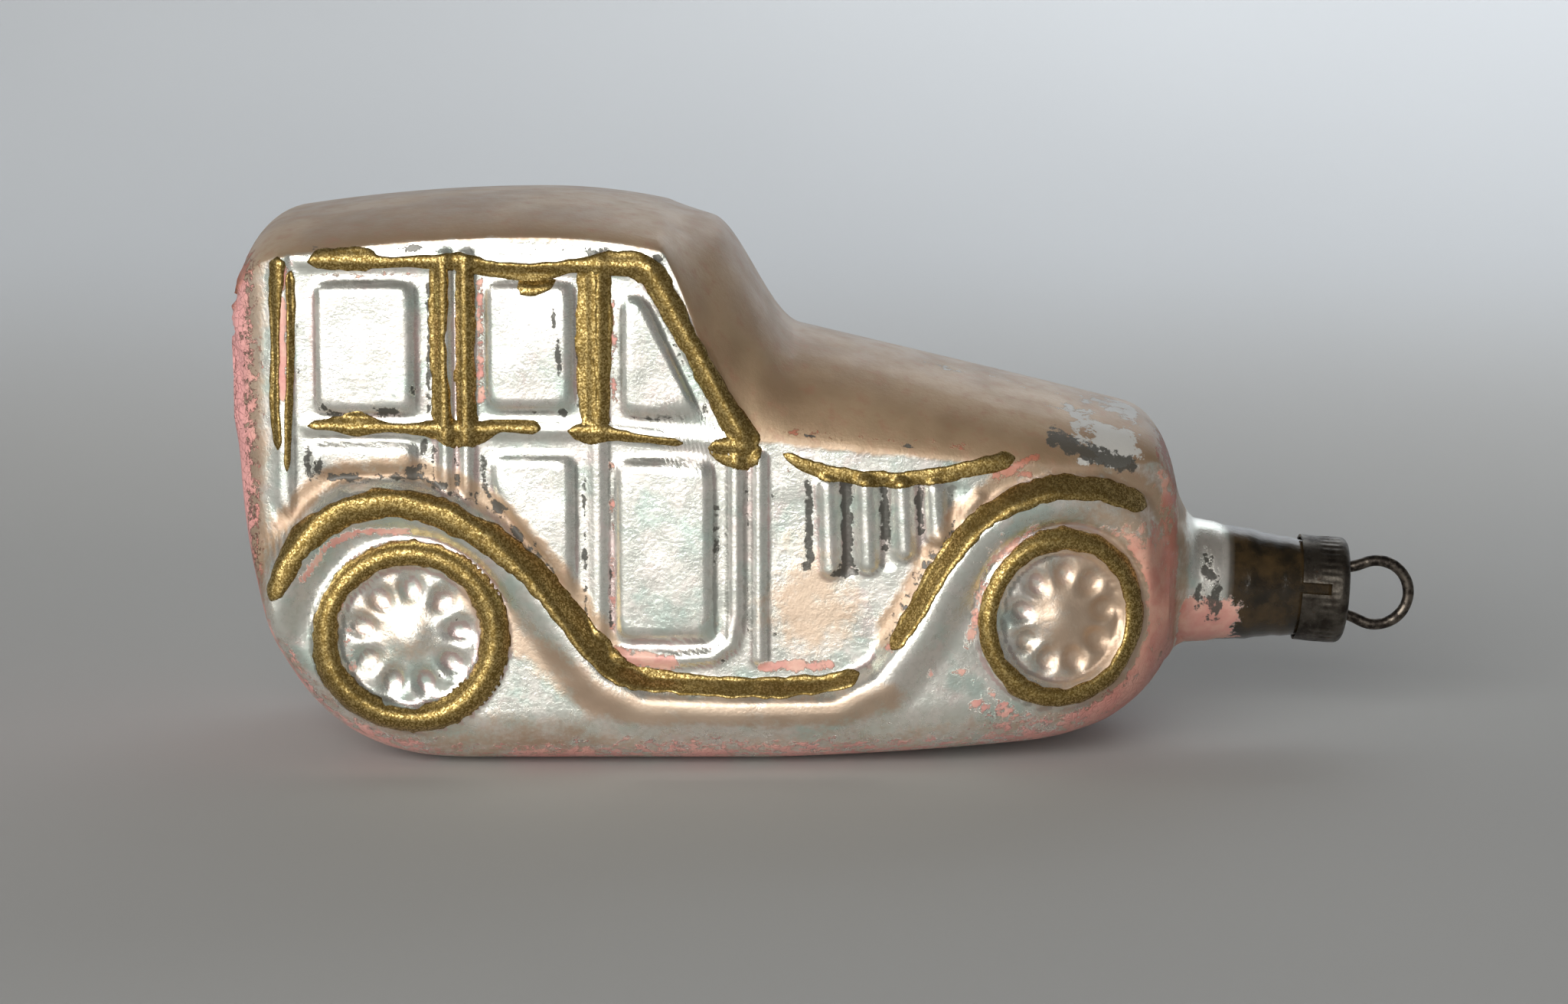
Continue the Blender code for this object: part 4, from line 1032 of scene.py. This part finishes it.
def silvered_glass():
    n = Nodes("silvered_lacquered_glass")
    fine = n.noise(0.5, 5, 0.65)
    medium = n.noise(2.2, 4)
    broad = n.noise(9.0, 3)
    flakes = n.noise(0.8, 6, 0.7)
    lacquer_and_shade = n.ragged(n.attribute("lacquer_and_shade"), n.noise(1.5, 6, 0.72), 0.3, 0.75)
    pearl = n.mix(n.between(medium, 0.35, 0.65), (0.87, 0.88, 0.80), (0.93, 0.88, 0.81))
    pearl = n.mix(n.between(n.noise(3.4, 3), 0.5, 0.68), pearl, (0.72, 0.82, 0.74))
    blush = n.between(n.noise(2.6, 5, 0.65), 0.55, 0.72)
    pearl = n.mix(n.times(blush, 0.5), pearl, (0.93, 0.74, 0.70))
    silver = n.mix(n.times(n.between(fine, 0.45, 0.7), 0.4), pearl, (0.60, 0.59, 0.51))
    # Grooves: pink residue, and a grey that is partly stain and partly painted shade in the hollows.
    groove = n.ragged(n.attribute("groove"), n.noise(1.2, 6, 0.75), 0.4, 0.8, 1.5)
    stain = n.mix(n.between(broad, 0.42, 0.58), (0.30, 0.30, 0.26), (0.72, 0.46, 0.44))
    silver = n.mix(n.times(groove, 0.6), silver, stain)
    wash = n.mix(n.between(broad, 0.35, 0.65), (0.62, 0.44, 0.31), (0.76, 0.58, 0.43))
    # The darker tan, used where the lacquer lies thick, is also painted shade on the roof, hood and upward
    # faces.
    tan = n.mix(n.between(broad, 0.35, 0.65), (0.31, 0.18, 0.085), (0.44, 0.285, 0.155))
    tan = n.mix(n.times(n.between(n.noise(1.1, 5), 0.5, 0.75), 0.5), tan, (0.38, 0.16, 0.08))
    warm = n.mix(n.attribute("thick_and_shaded"), wash, tan)
    colour = n.mix(n.times(lacquer_and_shade, 0.92), silver, warm)
    chips = n.ragged(n.attribute("chips"), n.noise(1.4, 7, 0.72), 0.6, 0.68, 1.8)
    colour = n.mix(chips, colour, (0.55, 0.53, 0.49))
    pink = n.ragged(n.attribute("pink"), n.noise(0.9, 7, 0.75), 0.5, 0.66, 1.8)
    pink_tone = n.mix(n.between(medium, 0.35, 0.65), (0.74, 0.27, 0.22), (0.88, 0.50, 0.38))
    pink_tone = n.mix(n.attribute("crust"), pink_tone, (0.88, 0.40, 0.40))
    # Darker red where the pink lies thick, and as painted shade on the same upward faces.
    pink_tone = n.mix(n.attribute("thick_and_shaded"), pink_tone, (0.42, 0.12, 0.07))
    colour = n.mix(n.times(pink, 0.85), colour, pink_tone)
    # Dark: lost silvering, and painted shade along the panes' lower and right edges and in the louvre
    # grooves.
    dark = n.ragged(n.attribute("dark"), flakes, 0.52, 0.66, 2.0)
    colour = n.mix(n.times(dark, 0.94), colour, (0.07, 0.066, 0.055))
    neck = n.times(n.attribute("neck"), n.minus(1.0, pink), clamp=True)
    amber = n.between(n.noise(3.0, 5, 0.6), 0.35, 0.68)
    brown = n.mix(amber, (0.010, 0.008, 0.005), (0.055, 0.034, 0.014))
    colour = n.mix(neck, colour, brown)
    metallic = n.minus(0.82, n.times(pink, 0.62))
    thick_and_shaded_lacquer = n.times(lacquer_and_shade, n.attribute("thick_and_shaded"))
    metallic = n.minus(metallic, n.times(thick_and_shaded_lacquer, 0.42))
    metallic = n.minus(metallic, n.times(chips, 0.7))
    metallic = n.minus(metallic, n.times(dark, 0.4))
    metallic = n.times(metallic, n.minus(1.0, n.times(neck, 0.9)), clamp=True)
    rough = n.plus(0.2, n.times(n.between(medium, 0.3, 0.7), 0.12))
    rough = n.plus(rough, n.times(lacquer_and_shade, 0.2))
    rough = n.plus(rough, n.times(pink, 0.25))
    rough = n.times(rough, n.minus(1.0, n.times(neck, 0.5)), clamp=True)
    wrinkle = n.bump(n.noise(0.38, 4, 0.65), 0.045, 0.7)
    paint = n.plus(n.times(lacquer_and_shade, 0.5), pink)
    paint = n.minus(paint, n.times(n.plus(dark, chips), 0.6))
    edges = n.bump(paint, 0.06, 0.7, after=wrinkle)
    crackle = n.cells(0.55, "Distance", "DISTANCE_TO_EDGE")
    crackle = n.times(n.between(crackle, 0.0, 0.12), n.times(n.attribute("crust"), pink))
    edges = n.bump(crackle, 0.09, 0.8, after=edges)
    return n.surface(
        Base_Color=colour, Metallic=metallic, Roughness=rough, Normal=edges,
        Coat_Weight=0.2, Coat_Roughness=0.12, Coat_IOR=1.5,
    )


def gold_bronze():
    n = Nodes("gold_bronze_paint")
    flake = n.cells(0.12, "Color")
    glint = n.between(flake, 0.3, 0.95)
    tone = n.mix(glint, (0.21, 0.135, 0.035), (0.66, 0.49, 0.20))
    worn = n.between(n.noise(0.8, 5, 0.7), 0.55, 0.72)
    tone = n.mix(n.times(worn, 0.55), tone, (0.15, 0.09, 0.03))
    grain = n.bump(flake, 0.05, 0.8)
    lumps = n.bump(n.noise(0.5, 4), 0.06, 0.6, after=grain)
    rough = n.number(glint, 0.5, 0.32)
    return n.surface(Base_Color=tone, Metallic=0.92, Roughness=rough, Normal=lumps)


def tarnished_metal():
    n = Nodes("tarnished_tinplate")
    stain = n.noise(1.4, 5, 0.65)
    tone = n.mix(n.between(stain, 0.35, 0.65), (0.035, 0.028, 0.022), (0.13, 0.115, 0.095))
    bright = n.between(n.noise(0.35, 4, 0.7), 0.62, 0.8)
    tone = n.mix(n.times(bright, 0.5), tone, (0.36, 0.34, 0.30))
    rust = n.between(n.noise(0.9, 5, 0.7), 0.6, 0.75)
    tone = n.mix(n.times(rust, 0.6), tone, (0.10, 0.045, 0.022))
    rough = n.number(n.between(stain, 0.3, 0.7), 0.5, 0.3)
    pits = n.bump(n.noise(0.25, 5, 0.7), 0.03, 0.6)
    return n.surface(Base_Color=tone, Metallic=0.95, Roughness=rough, Normal=pits)


def dark_wire():
    n = Nodes("dark_spring_wire")
    stain = n.noise(0.7, 5, 0.65)
    tone = n.mix(n.between(stain, 0.4, 0.62), (0.03, 0.024, 0.02), (0.16, 0.135, 0.11))
    rough = n.number(n.between(stain, 0.3, 0.7), 0.5, 0.32)
    lines = n.bump(n.noise(0.2, 4, 0.7), 0.02, 0.6)
    return n.surface(Base_Color=tone, Metallic=0.95, Roughness=rough, Normal=lines)


def give(obj, material):
    obj.data.materials.clear()
    obj.data.materials.append(material)


# ---- Floor, light and camera ----

def sweep():
    """A plain pale sweep: floor, a soft bend and a backdrop, the floor painted darker as shade."""
    width, front, depth, bend, height, steps = 1.6, -1.1, 0.34, 0.26, 0.75, 24
    profile = [(front, 0.0), (depth - bend, 0.0)]
    for i in range(1, steps + 1):
        a = math.pi / 2 * i / steps
        profile.append((depth - bend + bend * math.sin(a), bend * (1 - math.cos(a))))
    profile.append((depth, height))
    points, faces = [], []
    for y, z in profile:
        points += [(-width / 2, y, z), (width / 2, y, z)]
    for i in range(len(profile) - 1):
        a = 2 * i
        faces.append([a, a + 1, a + 3, a + 2])
    data = new_mesh("sweep", points, faces)
    data.shade_smooth()
    obj = linked_object("sweep", data)
    n = Nodes("pale_sweep")
    parts = n.node("SeparateXYZ")
    n.put(n.place, parts.inputs[0])
    # Painted shade: the floor is a darker, warmer grey than the backdrop, though both stand for one cloth.
    rise = n.between(parts.outputs["Z"], 0.0, 0.02)
    tone = n.mix(rise, (0.47, 0.465, 0.45), (0.58, 0.60, 0.62))
    cloudy = n.between(n.noise(120.0, 2), 0.3, 0.7)
    tone = n.mix(n.times(cloudy, 0.12), tone, (0.34, 0.34, 0.36))
    give(obj, n.surface(Base_Color=tone, Roughness=0.75))


# Lamps: place, target, size, watts and colour (metres)
LAMPS = {
    "window": ((-0.32, -0.85, 0.30), (0.0, 0, 0.02), (0.9, 0.5), 9.5, (1.0, 1.0, 0.98)),
    "backdrop": ((0.15, 0.25, 0.28), (0.15, 0.40, 0.13), (0.25, 0.25), 0.7, (0.92, 0.96, 1.0)),
}
CAMERA_DISTANCE, CAMERA_LENS, CAMERA_ELEVATION = 0.348, 100, math.radians(10)
VIEW_MIDDLE = (44.1, 19.55)  # station and height in millimetres


def aim(obj, place, target):
    obj.location = place
    obj.rotation_euler = (target - place).to_track_quat("-Z", "Y").to_euler()


def area_light(name, place, target, size, power, colour):
    data = bpy.data.lights.new(name, "AREA")
    data.shape = "RECTANGLE"
    data.size, data.size_y = size
    data.energy = power
    data.color = colour
    aim(linked_object(name, data), Vector(place), Vector(target))


def world():
    """Soft room light: pale towards the horizon, dim and warm overhead."""
    made = bpy.data.worlds.new("room")
    made.use_nodes = True
    tree = made.node_tree
    place = tree.nodes.new("ShaderNodeTexCoord")
    parts = tree.nodes.new("ShaderNodeSeparateXYZ")
    rise = tree.nodes.new("ShaderNodeMapRange")
    rise.inputs[1].default_value, rise.inputs[2].default_value = 0.15, 0.85
    blend = tree.nodes.new("ShaderNodeMix")
    blend.data_type = "RGBA"
    blend.inputs[6].default_value = (0.62, 0.62, 0.63, 1)
    blend.inputs[7].default_value = (0.24, 0.21, 0.18, 1)
    tree.links.new(place.outputs["Generated"], parts.inputs[0])
    tree.links.new(parts.outputs["Z"], rise.inputs[0])
    tree.links.new(rise.outputs[0], blend.inputs[0])
    tree.links.new(blend.outputs[2], tree.nodes["Background"].inputs["Color"])
    tree.nodes["Background"].inputs["Strength"].default_value = 0.22
    bpy.context.scene.world = made


def camera():
    """A long lens, square to the car's side and looking down by ten degrees."""
    data = bpy.data.cameras.new("view")
    data.lens, data.sensor_width = CAMERA_LENS, 36
    data.clip_start, data.clip_end = 0.01, 20
    station, height = VIEW_MIDDLE
    target = Vector(((REAR + station + DATUM_X) * MM, 0, (height + DATUM_Z) * MM))
    towards = Vector((0, -math.cos(CAMERA_ELEVATION), math.sin(CAMERA_ELEVATION)))
    obj = linked_object("view", data)
    aim(obj, target + CAMERA_DISTANCE * towards, target)
    bpy.context.scene.camera = obj


def main():
    give(glass_body(), silvered_glass())
    give(gold_paint(), gold_bronze())
    give(cap(), tarnished_metal())
    give(hanger(), dark_wire())
    sweep()
    world()
    for name, values in LAMPS.items():
        area_light(name, *values)
    camera()


main()
bpy.context.scene.view_settings.view_transform = "Standard"
